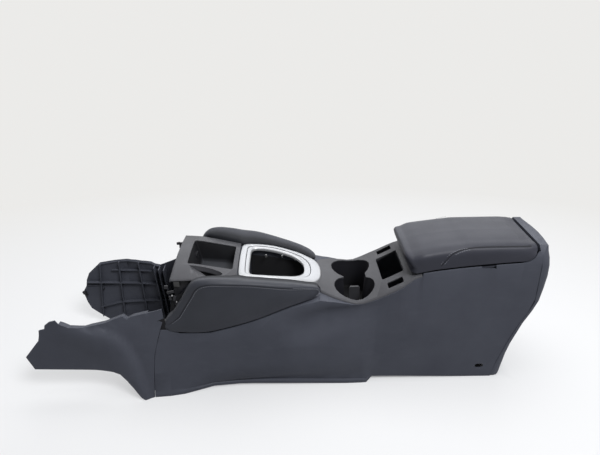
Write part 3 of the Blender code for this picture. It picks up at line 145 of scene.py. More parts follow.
class Finish(Nodes):
    """One material and the nodes that make its finish."""

    def __init__(self, name):
        self.material = bpy.data.materials.new(name)
        self.material.use_nodes = True
        super().__init__(self.material.node_tree)
        self.shader = self.tree.nodes["Principled BSDF"]
        self.position = self.node("ShaderNodeTexCoord")["Object"]

    def noise(self, size, detail=2.0, rough=0.5, stretch=None):
        """Soft noise whose features are about this many millimetres across."""
        where = self.position
        if stretch:
            where = self.node("ShaderNodeMapping", None, Vector=where, Scale=stretch)["Vector"]
        made = self.node(
            "ShaderNodeTexNoise", None, Vector=where, Scale=1000.0 / size, Detail=detail, Roughness=rough
        )
        return made["Fac"]

    def cells(self, size, feature="F1", randomness=1.0):
        made = self.node(
            "ShaderNodeTexVoronoi", {"feature": feature}, Vector=self.position, Scale=1000.0 / size,
            Randomness=randomness,
        )
        return made["Distance"]

    def blend(self, share, low, high):
        """A colour between two colours, by the share."""
        node = self.tree.nodes.new("ShaderNodeMix")
        node.data_type = "RGBA"
        self.feed(node.inputs[0], share)
        for socket, colour in ((node.inputs[6], low), (node.inputs[7], high)):
            self.feed(socket, (*colour, 1.0) if isinstance(colour, tuple) else colour)
        return Value(self, node.outputs[2])

    def set(self, **inputs):
        for key, value in inputs.items():
            self.feed(by_name(self.shader)[key], value)

    def bump(self, height, depth):
        """Raises the surface by the height, a value from 0 to 1, times the depth in millimetres."""
        made = self.node("ShaderNodeBump", None, Height=height, Distance=depth * MM)
        self.set(Normal=made["Normal"])


def grained_plastic(name, colour, light, grain=0.9, depth=0.05, rough=(0.42, 0.56)):
    """Moulded plastic with an eroded leather-like grain and faint handling marks."""
    finish = Finish(name)
    cells = finish.cells(grain, "DISTANCE_TO_EDGE")
    pores = finish.noise(grain * 0.45, 1.0)
    height = cells.step(0.0, 0.28) * 0.75 + pores * 0.25
    cloud = finish.noise(90.0, 3.0, 0.55)
    rub = finish.noise(14.0, 4.0, 0.6, (0.35, 1.0, 1.0)).step(0.55, 0.8)
    share = cloud.step(0.3, 0.75) * 0.7 + rub * 0.3
    finish.set(
        Base_Color=finish.blend(share, colour, light),
        Roughness=share * (rough[0] - rough[1]) + rough[1],
        IOR=1.22,
    )
    finish.bump(height, depth)
    return finish.material


def smooth_black(name, colour=(0.011, 0.011, 0.013), rough=0.42, depth=0.02):
    """Plain black moulding with a fine spark-eroded face."""
    finish = Finish(name)
    face = finish.noise(0.6, 2.0)
    cloud = finish.noise(45.0, 2.0)
    lighter = tuple(c * 1.5 + 0.002 for c in colour)
    finish.set(Base_Color=finish.blend(cloud, colour, lighter), Roughness=cloud * 0.12 + rough, IOR=1.3)
    finish.bump(face, depth)
    return finish.material


def black_with_painted_shading(name, low, floor, high, wall):
    """Plain black moulding of an open box, with light and shade painted by height: one tone at the height of
    its floor and one up its walls.
    """
    finish = Finish(name)
    height = finish.node("ShaderNodeSeparateXYZ", None, Vector=finish.position)["Z"]
    share = height.step(low * MM, high * MM)
    painted_shading_and_mottle = share * 0.85 + finish.noise(30.0, 2.0) * 0.15
    finish.set(Base_Color=finish.blend(painted_shading_and_mottle, floor, wall), Roughness=0.5 + share * 0.1, IOR=1.3)
    finish.bump(finish.noise(0.6, 2.0), 0.02)
    return finish.material


def satin_silver(name):
    """Silver paint with fine flake, a little duller where hands rub."""
    finish = Finish(name)
    flake = finish.cells(0.25)
    cloud = finish.noise(38.0, 3.0, 0.55)
    orange_peel = finish.noise(1.6, 1.0)
    tone = flake * 0.25 + cloud * 0.5
    finish.set(
        Base_Color=finish.blend(tone, (0.29, 0.295, 0.305), (0.41, 0.415, 0.43)),
        Roughness=cloud * 0.12 + 0.33,
        Metallic=0.5,
        Coat_Weight=0.2,
        Coat_Roughness=0.25,
    )
    finish.bump(orange_peel, 0.012)
    return finish.material


def leather(name, colour, light):
    """Artificial leather: pebbled grain with creases between the pebbles, with shade painted dark down in
    its seams and on a knee pad's tucked-in roll.
    """
    finish = Finish(name)
    pebbles = finish.cells(1.5, "DISTANCE_TO_EDGE")
    fine = finish.cells(0.6, "DISTANCE_TO_EDGE")
    wander = finish.noise(7.0, 3.0, 0.6)
    height = pebbles.step(0.0, 0.32) * 0.65 + fine.step(0.0, 0.4) * 0.2 + wander * 0.15
    cloud = finish.noise(60.0, 3.0, 0.5).step(0.3, 0.75)
    seam = finish.node("ShaderNodeAttribute", {"attribute_name": "seam"})["Fac"]
    share = (cloud * 0.55 + height * 0.45) * (1 - seam)
    plain = finish.blend(share, colour, light)
    # Painted shade: where the vertex attribute is full, the base colour falls to a quarter of its tone, down
    # in seams and on a knee pad's tucked-in roll.
    sunk = tuple(c * 0.25 for c in colour)
    finish.set(
        Base_Color=finish.blend(seam, plain, sunk),
        Roughness=0.52 - height * 0.08 - cloud * 0.05 + seam * 0.3,
        IOR=1.3,
    )
    finish.bump(height, 0.06)
    return finish.material


def steel(name, shade=1.0):
    finish = Finish(name)
    streak = finish.noise(2.0, 3.0, 0.6, (8.0, 1.0, 1.0))
    low, high = (0.36, 0.36, 0.37), (0.56, 0.56, 0.57)
    finish.set(
        Base_Color=finish.blend(streak, *(tuple(c * shade for c in tone) for tone in (low, high))),
        Metallic=1.0,
        Roughness=streak * 0.2 + 0.28,
    )
    finish.bump(streak, 0.01)
    return finish.material


def rubber(name):
    finish = Finish(name)
    dust = finish.noise(20.0, 4.0, 0.6)
    weave = finish.cells(2.2, "F1", 0.2)
    finish.set(
        Base_Color=finish.blend(dust, (0.010, 0.010, 0.011), (0.024, 0.024, 0.025)),
        Roughness=dust * 0.15 + 0.72,
    )
    finish.bump(weave, 0.15)
    return finish.material


def thread(name, colour):
    """Twisted sewing thread."""
    finish = Finish(name)
    twist = finish.noise(0.5, 1.0)
    lighter = tuple(c * 1.35 for c in colour)
    finish.set(Base_Color=finish.blend(twist, colour, lighter), Roughness=0.7)
    finish.bump(twist, 0.1)
    return finish.material


CHARCOAL = grained_plastic("charcoal_grain", (0.049, 0.052, 0.065), (0.063, 0.067, 0.082))
TRIM_GREY = grained_plastic(
    "trim_grain", (0.053, 0.053, 0.058), (0.066, 0.066, 0.072), grain=0.7, depth=0.035, rough=(0.36, 0.48)
)
BLACK = smooth_black("black_moulding")
# The cup well's floor is painted darker than its walls, for the shade down in the well.
WELL_BLACK = black_with_painted_shading("well_moulding", 134.0, (0.002, 0.002, 0.0025), 190.0, (0.009, 0.009, 0.012))
# The pocket's floor is painted lighter and its walls darker, for the light on its floor and the shade on its
# walls.
POCKET_BLACK = black_with_painted_shading("pocket_moulding", 220.0, (0.038, 0.040, 0.045), 228.0, (0.002, 0.002, 0.003))
DIVIDER_GREY = smooth_black("divider_moulding", (0.030, 0.030, 0.033), 0.4)
SILVER = satin_silver("satin_silver_paint")
PAD_SKIN = leather("knee_pad_leather", (0.024, 0.026, 0.033), (0.035, 0.037, 0.046))
LID_SKIN = leather("armrest_leather", (0.021, 0.022, 0.030), (0.031, 0.032, 0.042))
STEEL = steel("plated_steel")
RUBBER = rubber("matt_rubber")
THREAD = thread("grey_thread", (0.15, 0.155, 0.175))
FELT = smooth_black("black_felt", (0.006, 0.006, 0.007), 0.85, 0.1)
DARK_STEEL = steel("phosphated_steel", 0.12)

FINISHES = (
    (CHARCOAL, ("console_body", "rear_panel", "front_finisher_left", "front_finisher_right")),
    (SILVER, ("shift_bezel", "shift_bezel_inner")),
    (TRIM_GREY, ("cup_panel", "tray_trim")),
    (WELL_BLACK, ("cup_well",)),
    (DIVIDER_GREY, ("cup_divider",)),
    (POCKET_BLACK, ("pocket_bin",)),
    (BLACK, ("outlet_socket", "storage_bin", "lid_base", "front_carrier")),
    (FELT, ("knee_backing_left", "knee_backing_right")),
    (RUBBER, ("bin_mat", "lid_bumper_left", "lid_bumper_right")),
    (STEEL, ("hinge_bracket", "hinge_pin", "bracket_screw_left", "bracket_screw_right")),
    (DARK_STEEL, ("trim_clip_left", "trim_clip_right")),
    (PAD_SKIN, ("knee_pad_left", "knee_pad_right")),
    (LID_SKIN, ("lid_pad",)),
)
NODE_FINISH = {node: material for material, nodes in FINISHES for node in nodes}
for name, material in NODE_FINISH.items():
    for slot in frame["nodes"][name].material_slots:
        slot.material = material

BODIES = frame["record"]["behaviour"]["bodies"]
BODY_OF = {node: body for body, members in BODIES.items() for node in members}


def finish_piece(piece, body, material):
    """Gives a piece its finish and lets it ride on its body."""
    piece.data.materials.clear()
    piece.data.materials.append(material)
    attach(piece, body)


def sliced(bm, region, pitch):
    """Cuts the faces that touch a region, in millimetres, by planes along and across the console."""
    lowest, highest = (place(*corner) for corner in region)
    for axis, normal in ((0, (1, 0, 0)), (2, (0, 0, 1))):
        for at in np.arange(region[0][axis], region[1][axis] + 0.1, pitch):
            near = []
            for face in bm.faces:
                spans = [[abs(v.co[k]) if k == 1 else v.co[k] for v in face.verts] for k in range(3)]
                if all(min(s) <= highest[k] and max(s) >= lowest[k] for k, s in enumerate(spans)):
                    near.append(face)
            edges = {edge for face in near for edge in face.edges}
            corners = {vertex for face in near for vertex in face.verts}
            bmesh.ops.bisect_plane(
                bm, geom=near + list(edges) + list(corners), dist=0.000002,
                plane_co=place(at, 0, at), plane_no=normal,
            )


WELD, FLAT_ANGLE = 0.02, 0.6
SMOOTH_ANGLE, CREASE_ANGLE, BEVEL_ANGLE, BEVEL_WIDTH = 34.0, 50.0, 40.0, 0.5


def dressed(node, region=None, pitch=None, shift=None):
    """A merged copy of a CAD node with smooth faces and softened edges, which stands for the node.

    Faces in the region are cut finely and moved sideways by the shift, a function of (station, z)
    that is positive outwards.
    """
    mesh = frame["nodes"][node].data.copy()
    bm = bmesh.new()
    bm.from_mesh(mesh)
    bmesh.ops.remove_doubles(bm, verts=bm.verts, dist=WELD * MM)
    bmesh.ops.dissolve_limit(
        bm, angle_limit=radians(FLAT_ANGLE), verts=bm.verts, edges=bm.edges, delimit={"NORMAL"}
    )
    if region:
        sliced(bm, region, pitch)
        for vertex in bm.verts:
            station, z = vertex.co.x / MM + HALF_LENGTH, vertex.co.z / MM
            side = 1 if vertex.co.y > 0 else -1
            if abs(vertex.co.y) / MM > region[0][1]:
                vertex.co.y += side * shift(station, z) * MM
    bm.to_mesh(mesh)
    bm.free()
    piece = added(f"{node}_moulding", mesh)
    mesh.shade_smooth()
    mesh.set_sharp_from_angle(angle=radians(SMOOTH_ANGLE))
    edge = piece.modifiers.new("edge", "BEVEL")
    edge.width = BEVEL_WIDTH * MM
    edge.segments = 2
    edge.limit_method = "ANGLE"
    edge.angle_limit = radians(BEVEL_ANGLE)
    edge.harden_normals = True
    apply_all(piece)
    finish_piece(piece, BODY_OF[node], NODE_FINISH[node])
    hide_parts(node)


def pick(pieces):
    """Selects pieces and nothing else, the first as the active one."""
    bpy.ops.object.select_all(action="DESELECT")
    for piece in pieces:
        piece.select_set(True)
    bpy.context.view_layer.objects.active = pieces[0]


def apply_all(piece):
    """Applies a piece's modifiers."""
    pick([piece])
    for modifier in list(piece.modifiers):
        bpy.ops.object.modifier_apply(modifier=modifier.name)


def joined(pieces, name):
    """Joins pieces into one object of this name."""
    pick(pieces)
    if len(pieces) > 1:
        bpy.ops.object.join()
    made = bpy.context.object
    made.name = name
    return made


FAR = 1e9


def beside_line(line, points):
    """Distance of each point to a line of (station, z) points, and 1 above the line or -1 below it."""
    line = np.array(line, float)
    nearest, side = np.full(len(points), FAR), np.ones(len(points))
    for a, b in zip(line, line[1:]):
        along = b - a
        share = np.clip(((points - a) @ along) / (along @ along), 0, 1)
        off = points - (a + share[:, None] * along)
        away = np.linalg.norm(off, axis=1)
        turn = np.where(along[0] * off[:, 1] - along[1] * off[:, 0] > 0, 1.0, -1.0)
        side = np.where(away < nearest, turn, side)
        nearest = np.minimum(nearest, away)
    return nearest, side


def above_line(line, station, z):
    """Signed distance of a point above a line, in the side view."""
    away, side = beside_line(line, np.array([(station, z)], float))
    return float(away[0] * side[0])


# The hollow along the body's side below the shoulder, from the knee pad's tip back past the cups
HOLLOW_LINE = ((520, 142), (560, 152), (600, 163), (640, 174), (690, 185.5), (730, 197), (780, 214))
HOLLOW_DEPTH = ((530, 0), (580, 10), (625, 15), (660, 11), (700, 4), (760, 0))
HOLLOW_UP = ((560, 44), (623, 36), (660, 22), (690, 12), (730, 10))
HOLLOW_DOWN = 55.0


def hollow(station, z):
    """How far the body's side is drawn in, deepest along the hollow's line."""
    d = above_line(HOLLOW_LINE, station, z)
    deep = float(np.interp(station, *zip(*HOLLOW_DEPTH)))
    reach = float(np.interp(station, *zip(*HOLLOW_UP))) if d > 0 else HOLLOW_DOWN
    return -deep * cos(pi / 2 * min(abs(d) / reach, 1.0)) ** 2


# The ridge on the left front finisher, which runs back along its top and then down to its foot
RIDGE_LINE = (
    (60, 176), (120, 176), (160, 170), (187, 158), (207, 138), (222, 108), (235, 72), (247, 22), (251, -10),
)
RIDGE_HEIGHT, RIDGE_NEAR, RIDGE_FAR = 8.5, 20.0, 85.0


def ridge(station, z):
    """How far the ridge stands out: it rises quickly below its line and fades slowly further down."""
    d = above_line(RIDGE_LINE, station, z) - 2.0
    if d >= 0:
        return 0.0
    fade = clamped((station - 70) / 70)
    if d > -RIDGE_NEAR:
        return fade * RIDGE_HEIGHT * (1 - ((d + RIDGE_NEAR) / RIDGE_NEAR) ** 2)
    return fade * RIDGE_HEIGHT * cos(pi / 2 * clamped((-d - RIDGE_NEAR) / RIDGE_FAR)) ** 2


def clamped(value):
    return min(max(value, 0.0), 1.0)


HOLLOW_REGION = ((520, 84, 90), (790, 150, 232))
RIDGE_REGION = ((40, 60, 0), (262, 150, 190))

for name in (
    "rear_panel", "cup_panel", "cup_well", "tray_trim", "pocket_bin", "cup_divider", "front_carrier",
    "front_finisher_right",
):
    dressed(name)
dressed("console_body", HOLLOW_REGION, pitch=9.0, shift=hollow)
dressed("front_finisher_left", RIDGE_REGION, pitch=8.0, shift=ridge)


# Soft covers. Their shapes repeat the solids of the part's source, with more points and their seams.


class Line:
    """A smooth line through rows of (place, value, ...), with no overshoot between the rows."""

    def __init__(self, *rows):
        table = np.array(rows, float)
        self.place = table[:, 0]
        self.value = table[:, 1:]
        rise = np.diff(self.value, axis=0) / np.diff(self.place)[:, None]
        product = rise[:-1] * rise[1:]
        total = rise[:-1] + rise[1:]
        inner = np.where(product > 0, 2 * product / np.where(total == 0, 1, total), 0)
        self.slope = np.vstack([rise[:1], inner, rise[-1:]])

    def __call__(self, at):
        at = min(max(at, self.place[0]), self.place[-1])
        i = min(max(np.searchsorted(self.place, at) - 1, 0), len(self.place) - 2)
        return hermite(self.place[i : i + 2], self.value[i : i + 2], self.slope[i : i + 2], at)


def hermite(places, values, slopes, at):
    """The value between two places of a cubic with the given values and slopes at both."""
    step = places[1] - places[0]
    t = (at - places[0]) / step
    found = (
        (1 + 2 * t) * (1 - t) ** 2 * values[0]
        + t * (1 - t) ** 2 * step * slopes[0]
        + t * t * (3 - 2 * t) * values[1]
        - t * t * (1 - t) * step * slopes[1]
    )
    return found if np.ndim(found) and len(found) > 1 else float(np.ravel(found)[0])


def even(points, count, closed=False):
    """Points at even spacing on a round line through the given points."""
    points = np.array(points, float)
    lengths = np.concatenate([[0], np.cumsum(np.linalg.norm(np.diff(points, axis=0), axis=1))])
    slopes = np.gradient(points, lengths, axis=0)
    found = []
    for at in np.linspace(0, lengths[-1], count, endpoint=not closed):
        i = min(max(np.searchsorted(lengths, at) - 1, 0), len(lengths) - 2)
        found.append(hermite(lengths[i : i + 2], points[i : i + 2], slopes[i : i + 2], at))
    return np.array(found)


def tube(loops, closed=False, open_after=None):
    """The loops' points in one list, and the faces between each loop and the next.

    A closed tube goes on from its last loop to its first, and may be left open after one loop.
    """
    count = len(loops[0])
    faces = []
    for k in range(len(loops) if closed else len(loops) - 1):
        if k == open_after:
            continue
        after = (k + 1) % len(loops)
        for i in range(count):
            j = (i + 1) % count
            faces.append((k * count + i, k * count + j, after * count + j, after * count + i))
    return [p for loop in loops for p in loop], faces


def capped(loops):
    """A tube with a face over each end."""
    points, faces = tube(loops)
    count = len(loops[0])
    return points, [tuple(range(count)), tuple(range(len(points) - count, len(points)))] + faces


def skin(name, points, faces, seam=None):
    """A closed object from points in millimetres, given as (station, y, z). Its last argument gives
    each point's share of painted shade, from 0 to 1, deepest down in a seam."""
    bm = bmesh.new()
    if seam is not None:
        layer = bm.verts.layers.float.new("seam")
    vertices = [bm.verts.new(place(*p)) for p in points]
    if seam is not None:
        for vertex, share in zip(vertices, seam):
            vertex[layer] = share
    for face in faces:
        bm.faces.new([vertices[i] for i in face])
    bmesh.ops.recalc_face_normals(bm, faces=bm.faces)
    if bm.calc_volume(signed=True) < 0:
        bmesh.ops.reverse_faces(bm, faces=bm.faces)
    mesh = bpy.data.meshes.new(name)
    bm.to_mesh(mesh)
    bm.free()
    mesh.shade_smooth()
    return added(name, mesh)


# Stitches

STITCH_LENGTH, STITCH_PITCH, STITCH_RADIUS = 3.4, 4.8, 0.5


def one_stitch():
    """A short bar of thread, thickest in the middle, that lies along X."""
    bpy.ops.object.select_all(action="DESELECT")
    bpy.ops.mesh.primitive_uv_sphere_add(segments=8, ring_count=6, radius=STITCH_RADIUS * MM)
    made = bpy.context.object
    bpy.ops.object.mode_set(mode="EDIT")
    bpy.ops.mesh.select_all(action="SELECT")
    stretch = STITCH_LENGTH / 2 / STITCH_RADIUS
    bpy.ops.transform.resize(value=(stretch, 1.0, 0.85))
    bpy.ops.object.mode_set(mode="OBJECT")
    bpy.ops.object.shade_smooth()
    return made


def stitch_row(name, places, outward, body):
    """Stitches along a line of points, laid on the surface whose outward directions are given."""
    places, outward = np.array(places), np.array(outward)
    lengths = np.concatenate([[0], np.cumsum(np.linalg.norm(np.diff(places, axis=0), axis=1))])
    model = one_stitch()
    row = []
    for at in np.arange(STITCH_PITCH, lengths[-1] - STITCH_LENGTH, STITCH_PITCH):
        ends = [
            np.array([np.interp(at + reach, lengths, places[:, k]) for k in range(3)])
            for reach in (-STITCH_LENGTH / 2, STITCH_LENGTH / 2)
        ]
        up = Vector([np.interp(at, lengths, outward[:, k]) for k in range(3)]).normalized()
        along = Vector(ends[1] - ends[0]).normalized()
        across = up.cross(along).normalized()
        up = along.cross(across)
        middle = Vector(place(*((ends[0] + ends[1]) / 2)))
        turn = Matrix((along, across, up)).transposed().to_4x4()
        stitch = model.data.copy()
        stitch.transform(Matrix.Translation(middle) @ turn)
        row.append(added(name, stitch))
    bpy.data.objects.remove(model, do_unlink=True)
    finish_piece(joined(row, name), body, THREAD)


# Knee pads: the crease round the face, as (station, half, z)

PAD_ROLL, PAD_OVERHANG, PAD_FOAM, PAD_CROWN, PAD_FULL_WIDTH = 20.0, 4.5, 6.0, 2.0, 45.0
TOP_SWELL, FRONT_SWELL = 7.5, 6.0
PAD_PAIRS, PAD_FACE_ROWS = 96, 14
SEAM_REACH, SEAM_ROLL, SEAM_DEPTH = 5.6, -0.04, 1.0
# Rows of stitches beside the seam: name, how far from it, and the share of the upper crease they span
PAD_STITCHES = (("inner", 2.1, 0.05, 1.06), ("outer", -1.9, 0.82, 1.05))
PAD_FRONT = (
    (291, 112.5, 161), (296, 113.5, 170), (310, 115, 186), (331, 118, 220), (346, 121, 246),
    (357, 123, 264),
)
PAD_TOP = (
    (368, 124, 272), (384, 124.3, 275), (410, 123, 274), (440, 120, 271), (475, 117.5, 267.3),
    (505, 112.5, 260.5), (535, 106, 253), (562, 99, 246.5), (585, 91.5, 240), (603, 83, 232.5),
)
PAD_TIP = ((612, 77, 224.5), (613.5, 76, 216.5))
PAD_UNDER = (
    (607, 83, 210.5), (588, 93.5, 209), (548, 104.5, 201), (486, 112.5, 179), (424, 116, 161),
    (375, 116.5, 150), (320, 115, 150), (299, 113.5, 153),
)
# Stations between which the pad runs out into its tip
PAD_NECK, PAD_END = 560.0, 609.0
# The trim's edge, on which the pads' tops are seated ahead of the bezel: station, half and z
TRIM_EDGE = Line(
    (290, 98, 269.5), (305, 98, 269), (345, 95, 268), (385, 87, 264), (425, 78, 259.5),
    (455, 73.5, 256), (495, 74, 254), (535, 69.5, 246.5), (575, 63, 236), (595, 59, 228),
    (615, 66, 215), (645, 83, 210),
)
BEZEL_FRONT, BEZEL_HALF, BEZEL_CROWN = 441.0, 73.0, 2.0
BEZEL_RIM = (
    (442.5, 58), (445, 68), (452, 72.5), (470, 73), (495, 73.2), (515, 72), (535, 68.8),
    (555, 65.2), (575, 61.5), (592, 56.5), (604, 50), (613, 38), (618.5, 20), (620, 0),
)
BEZEL_RIM_Z = Line(
    (441, 257), (470, 255.6), (495, 253.6), (515, 250.6), (535, 246.6), (555, 241.8),
    (575, 236), (595, 228.6), (620, 222),
)


def bezel_z(station, y):
    return BEZEL_RIM_Z(station) + BEZEL_CROWN * (1 - (y / BEZEL_HALF) ** 2)


def pad_seat(station):
    """Where the cover's top edge lies, just past the trim's edge or the bezel's rim: half and z."""
    if station < BEZEL_FRONT:
        half, z = TRIM_EDGE(station)
        return half + 2.4, z - 1.0
    half = float(np.interp(station, *zip(*BEZEL_RIM)))
    return half + 2.0, bezel_z(station, half) - 0.6


def eased(values, rounds):
    """Values round a closed loop, each blended with its neighbours a number of times."""
    for _ in range(rounds):
        values = (np.roll(values, 1, axis=0) + values * 2 + np.roll(values, -1, axis=0)) / 4
    return values


def pad_frames():
    """The crease's points with their inward directions in the side view, their seats on the body,
    how far the cover swells there and how much each belongs to the pad's top."""
    above = even(PAD_FRONT + PAD_TOP + PAD_TIP, PAD_PAIRS, True)
    below = even(PAD_TIP[-1:] + PAD_UNDER + PAD_FRONT[:1], PAD_PAIRS, True)
    crease = np.vstack([above, below])
    side_view = crease[:, (0, 2)]
    after = np.roll(side_view, -2, axis=0)
    along = after - np.roll(side_view, 2, axis=0)
    area = np.sum(side_view[:, 0] * after[:, 1] - side_view[:, 1] * after[:, 0])
    inward = np.stack([-along[:, 1], along[:, 0]], axis=1) * np.sign(area)
    inward = eased(inward, 4)
    inward /= np.linalg.norm(inward, axis=1)[:, None]
    seats, swells, tops = [], [], []
    for (s, half, z), (ahead, lift) in zip(crease, inward):
        near_tip = clamped((s - PAD_NECK) / 30)
        topness = clamped((-lift - 0.62 + 0.37 * near_tip) * (4 - 1.5 * near_tip))
        frontness = clamped(ahead * 2.5 - 0.6) * (1 - topness)
        edge, edge_z = pad_seat(s)
        plain = half - PAD_ROLL * (1.0 if lift < 0.2 else 0.65)
        if s > PAD_NECK:
            plain = max(plain, TRIM_EDGE(s)[0] + 8.5)
        seats.append((
            s - ahead * frontness * 2.0,
            plain * (1 - topness) + edge * topness,
            z * (1 - topness) + edge_z * topness,
        ))
        tops.append(topness)
        narrow = clamped((PAD_END - s) / 60)
        slim = 1 - 0.45 * clamped((s - 415) / 50)
        swells.append((TOP_SWELL * topness * slim + FRONT_SWELL * frontness) * (0.35 + 0.65 * narrow))
    seats, swells, tops = (eased(np.array(values), 8) for values in (seats, swells, tops))
    return crease, inward, seats, swells, tops


def seam_share(k):
    """How deep the sewn seam is at a crease point: it runs up the front, over the top to the tip."""
    at = k / PAD_PAIRS
    return clamped((at - 0.01) / 0.04) * clamped((1.12 - at) / 0.05)


def seam_reach(k):
    """The seam lies a little further in along the pad's front edge than along its top."""
    return SEAM_REACH + 2.6 * clamped((0.40 - k / PAD_PAIRS) / 0.08)


def pad_loop(frames, reach, roll, groove=0.0, back=0.0):
    """A loop of the cover's skin: how far in from the crease in the side view, how far it has rolled
    from the crease, 0, to its seat, 1, how deep its groove is and how far behind the skin it lies."""
    crease, inward, seats, swells, tops = frames
    loop = []
    arch = 1 - abs(2 * clamped(roll) - 1) ** 4
    over = PAD_OVERHANG * sin(pi * clamped(roll * 2 - 1))
    for k, (edge, (ds, dz), seat, swell) in enumerate(zip(crease, inward, seats, swells)):
        at = edge + (seat - edge) * roll
        at = at - np.array((ds, 0.0, dz)) * swell * arch - np.array((0.0, over * tops[k], 0.0))
        width = hypot(*(crease[k] - crease[-k])[[0, 2]])
        here = reach
        if reach > 2.0:
            here = reach * seam_reach(k) / SEAM_REACH
        depth = (here + back) * min(1.0, max(0.25, width / PAD_FULL_WIDTH))
        sunk = back + groove * seam_share(k)
        loop.append((at[0] + ds * depth, at[1] - (sunk if roll < 0.9 else 0), at[2] + dz * depth))
    return loop


# The cover's skin from its seat to its face, as (reach, roll) and a groove where there is one
PAD_SKIN_PROFILE = (
    (0.0, 1.0), (0.05, 0.96), (0.1, 0.91), (0.15, 0.85), (0.2, 0.77), (0.3, 0.66), (0.3, 0.54),
    (0.3, 0.43), (0.15, 0.33), (0.0, 0.24), (0.05, 0.17), (0.15, 0.105), (0.35, 0.06), (0.7, 0.025),
    (1.4, -0.005), (2.4, -0.022), (3.6, -0.032), (4.6, -0.036, 0.08), (5.1, -0.038, 0.45),
    (SEAM_REACH, SEAM_ROLL, SEAM_DEPTH), (6.1, -0.042, 0.45), (6.6, -0.044, 0.08), (7.8, -0.048),
    (9.5, -0.05),
)
PAD_LINING = ((9.0, -0.05), (0.0, 0.13), (0.0, 1.0))


def face_rows(points, start, side, rows):
    """Fills the pad's face from its upper to its lower edge, crowned both ways."""
    grid = []
    for i in range(1, PAD_PAIRS):
        above = np.array(points[start + i])
        below = np.array(points[start + 2 * PAD_PAIRS - i])
        rib = [start + i]
        for j in range(1, rows):
            share = j / rows
            swell = side * PAD_CROWN * sin(pi * i / PAD_PAIRS) ** 0.5 * sin(pi * share) ** 0.8
            s, y, z = above * (1 - share) + below * share
            rib.append(len(points))
            points.append((s, y + swell, z))
        rib.append(start + 2 * PAD_PAIRS - i)
        grid.append(rib)
    faces = []
    for near, far in zip(grid, grid[1:]):
        faces += [(near[j], near[j + 1], far[j + 1], far[j]) for j in range(rows)]
    for tip, rib in ((start, grid[0]), (start + PAD_PAIRS, grid[-1])):
        faces += [(tip, rib[j], rib[j + 1]) for j in range(rows)]
    return faces


def knee_cover(side, name):
    """The knee bolster's soft cover, from its seat on the body over the crease to its crowned face."""
    frames = pad_frames()
    outer = [pad_loop(frames, *row) for row in PAD_SKIN_PROFILE]
    inner = [pad_loop(frames, *row, back=PAD_FOAM) for row in PAD_LINING]
    loops = [[(s, side * half, z) for s, half, z in loop] for loop in outer + inner]
    count = len(loops[0])
    points, faces = tube(loops, closed=True, open_after=len(outer) - 1)
    faces += face_rows(points, (len(outer) - 1) * count, side, PAD_FACE_ROWS)
    faces += face_rows(points, len(outer) * count, side, 2)
    # Painted shade for the leather, kept in a vertex attribute: full down in the sewn seam's groove, and up
    # to 0.85 on the top's inner roll where it tucks down to its seat.
    seam = np.zeros(len(points))
    for k, (_, roll, *groove) in enumerate(PAD_SKIN_PROFILE):
        for i in range(count):
            tucked_roll_shade = 0.85 * clamped((roll - 0.4) / 0.25) * frames[4][i]
            seam[k * count + i] = max(sum(groove) / SEAM_DEPTH * seam_share(i), tucked_roll_shade)
    cover = skin(f"knee_cover_{name}", points, faces, seam)
    finish_piece(cover, "console", PAD_SKIN)
    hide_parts(f"knee_pad_{name}")
    for which, shift, first, last in PAD_STITCHES:
        line = pad_loop(frames, SEAM_REACH + shift, SEAM_ROLL, back=-0.05)
        line = line[int(first * PAD_PAIRS):int(last * PAD_PAIRS)]
        row = [(s, side * half, z) for s, half, z in line]
        stitch_row(f"knee_stitches_{which}_{name}", row, [(0, side, 0.15)] * len(row), "console")


for side, name in ((-1, "left"), (1, "right")):
    knee_cover(side, name)


# Shifter surround: the same two rings as in the part's source, on rounder outlines

SURROUND_HALF_OUTLINE = (
    (BEZEL_FRONT, 0), (441.2, 15), (441.5, 30), (442.0, 45), (442.5, 56), (443.5, 63.5), (446.5, 69.5),
    (452.5, 72.6), (462, 73), (480, 73.2),
) + BEZEL_RIM[4:]
OPENING_HALF_OUTLINE = (
    (464, 0), (464, 12), (464.1, 24), (464.3, 36), (465, 46), (467.6, 53), (473, 57), (482, 58.2), (495, 58),
    (515, 56), (535, 51.5), (555, 45), (569, 36.5), (578, 25), (582, 13), (583, 0),
)
SURROUND_CENTRE = (515.0, 0.0)
SURROUND_STEPS = 144


def outline_reach(half_outline):
    """Distance from the surround's centre to an outline in each of the ring's directions."""
    half = even(half_outline, 200)
    whole = np.vstack([half, half[-2:0:-1] * (1, -1)]) - SURROUND_CENTRE
    angles = np.arctan2(whole[:, 1], whole[:, 0])
    order = np.argsort(angles)
    turns = 2 * pi * np.arange(SURROUND_STEPS) / SURROUND_STEPS
    return np.interp(turns, angles[order], np.hypot(*whole.T)[order], period=2 * pi)


RIM_REACH = outline_reach(SURROUND_HALF_OUTLINE)
OPENING_REACH = outline_reach(OPENING_HALF_OUTLINE)


def surround_loop(share, rise, grow=0.0):
    """A loop between the opening, share 0, and the surround's rim, share 1, above the finish."""
    loop = []
    for k, (inner, outer) in enumerate(zip(OPENING_REACH, RIM_REACH)):
        angle = 2 * pi * k / SURROUND_STEPS
        reach = inner + (outer - inner) * share + grow
        s = SURROUND_CENTRE[0] + reach * cos(angle)
        y = SURROUND_CENTRE[1] + reach * sin(angle)
        loop.append((s, y, bezel_z(s, y) + rise))
    return loop


def surround_ring(name, node, profile):
    """A closed ring through loops given as (share, rise, grow)."""
    made = skin(name, *tube([surround_loop(*row) for row in profile], closed=True))
    finish_piece(made, "console", SILVER)
    made.data.set_sharp_from_angle(angle=radians(CREASE_ANGLE))
    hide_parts(node)


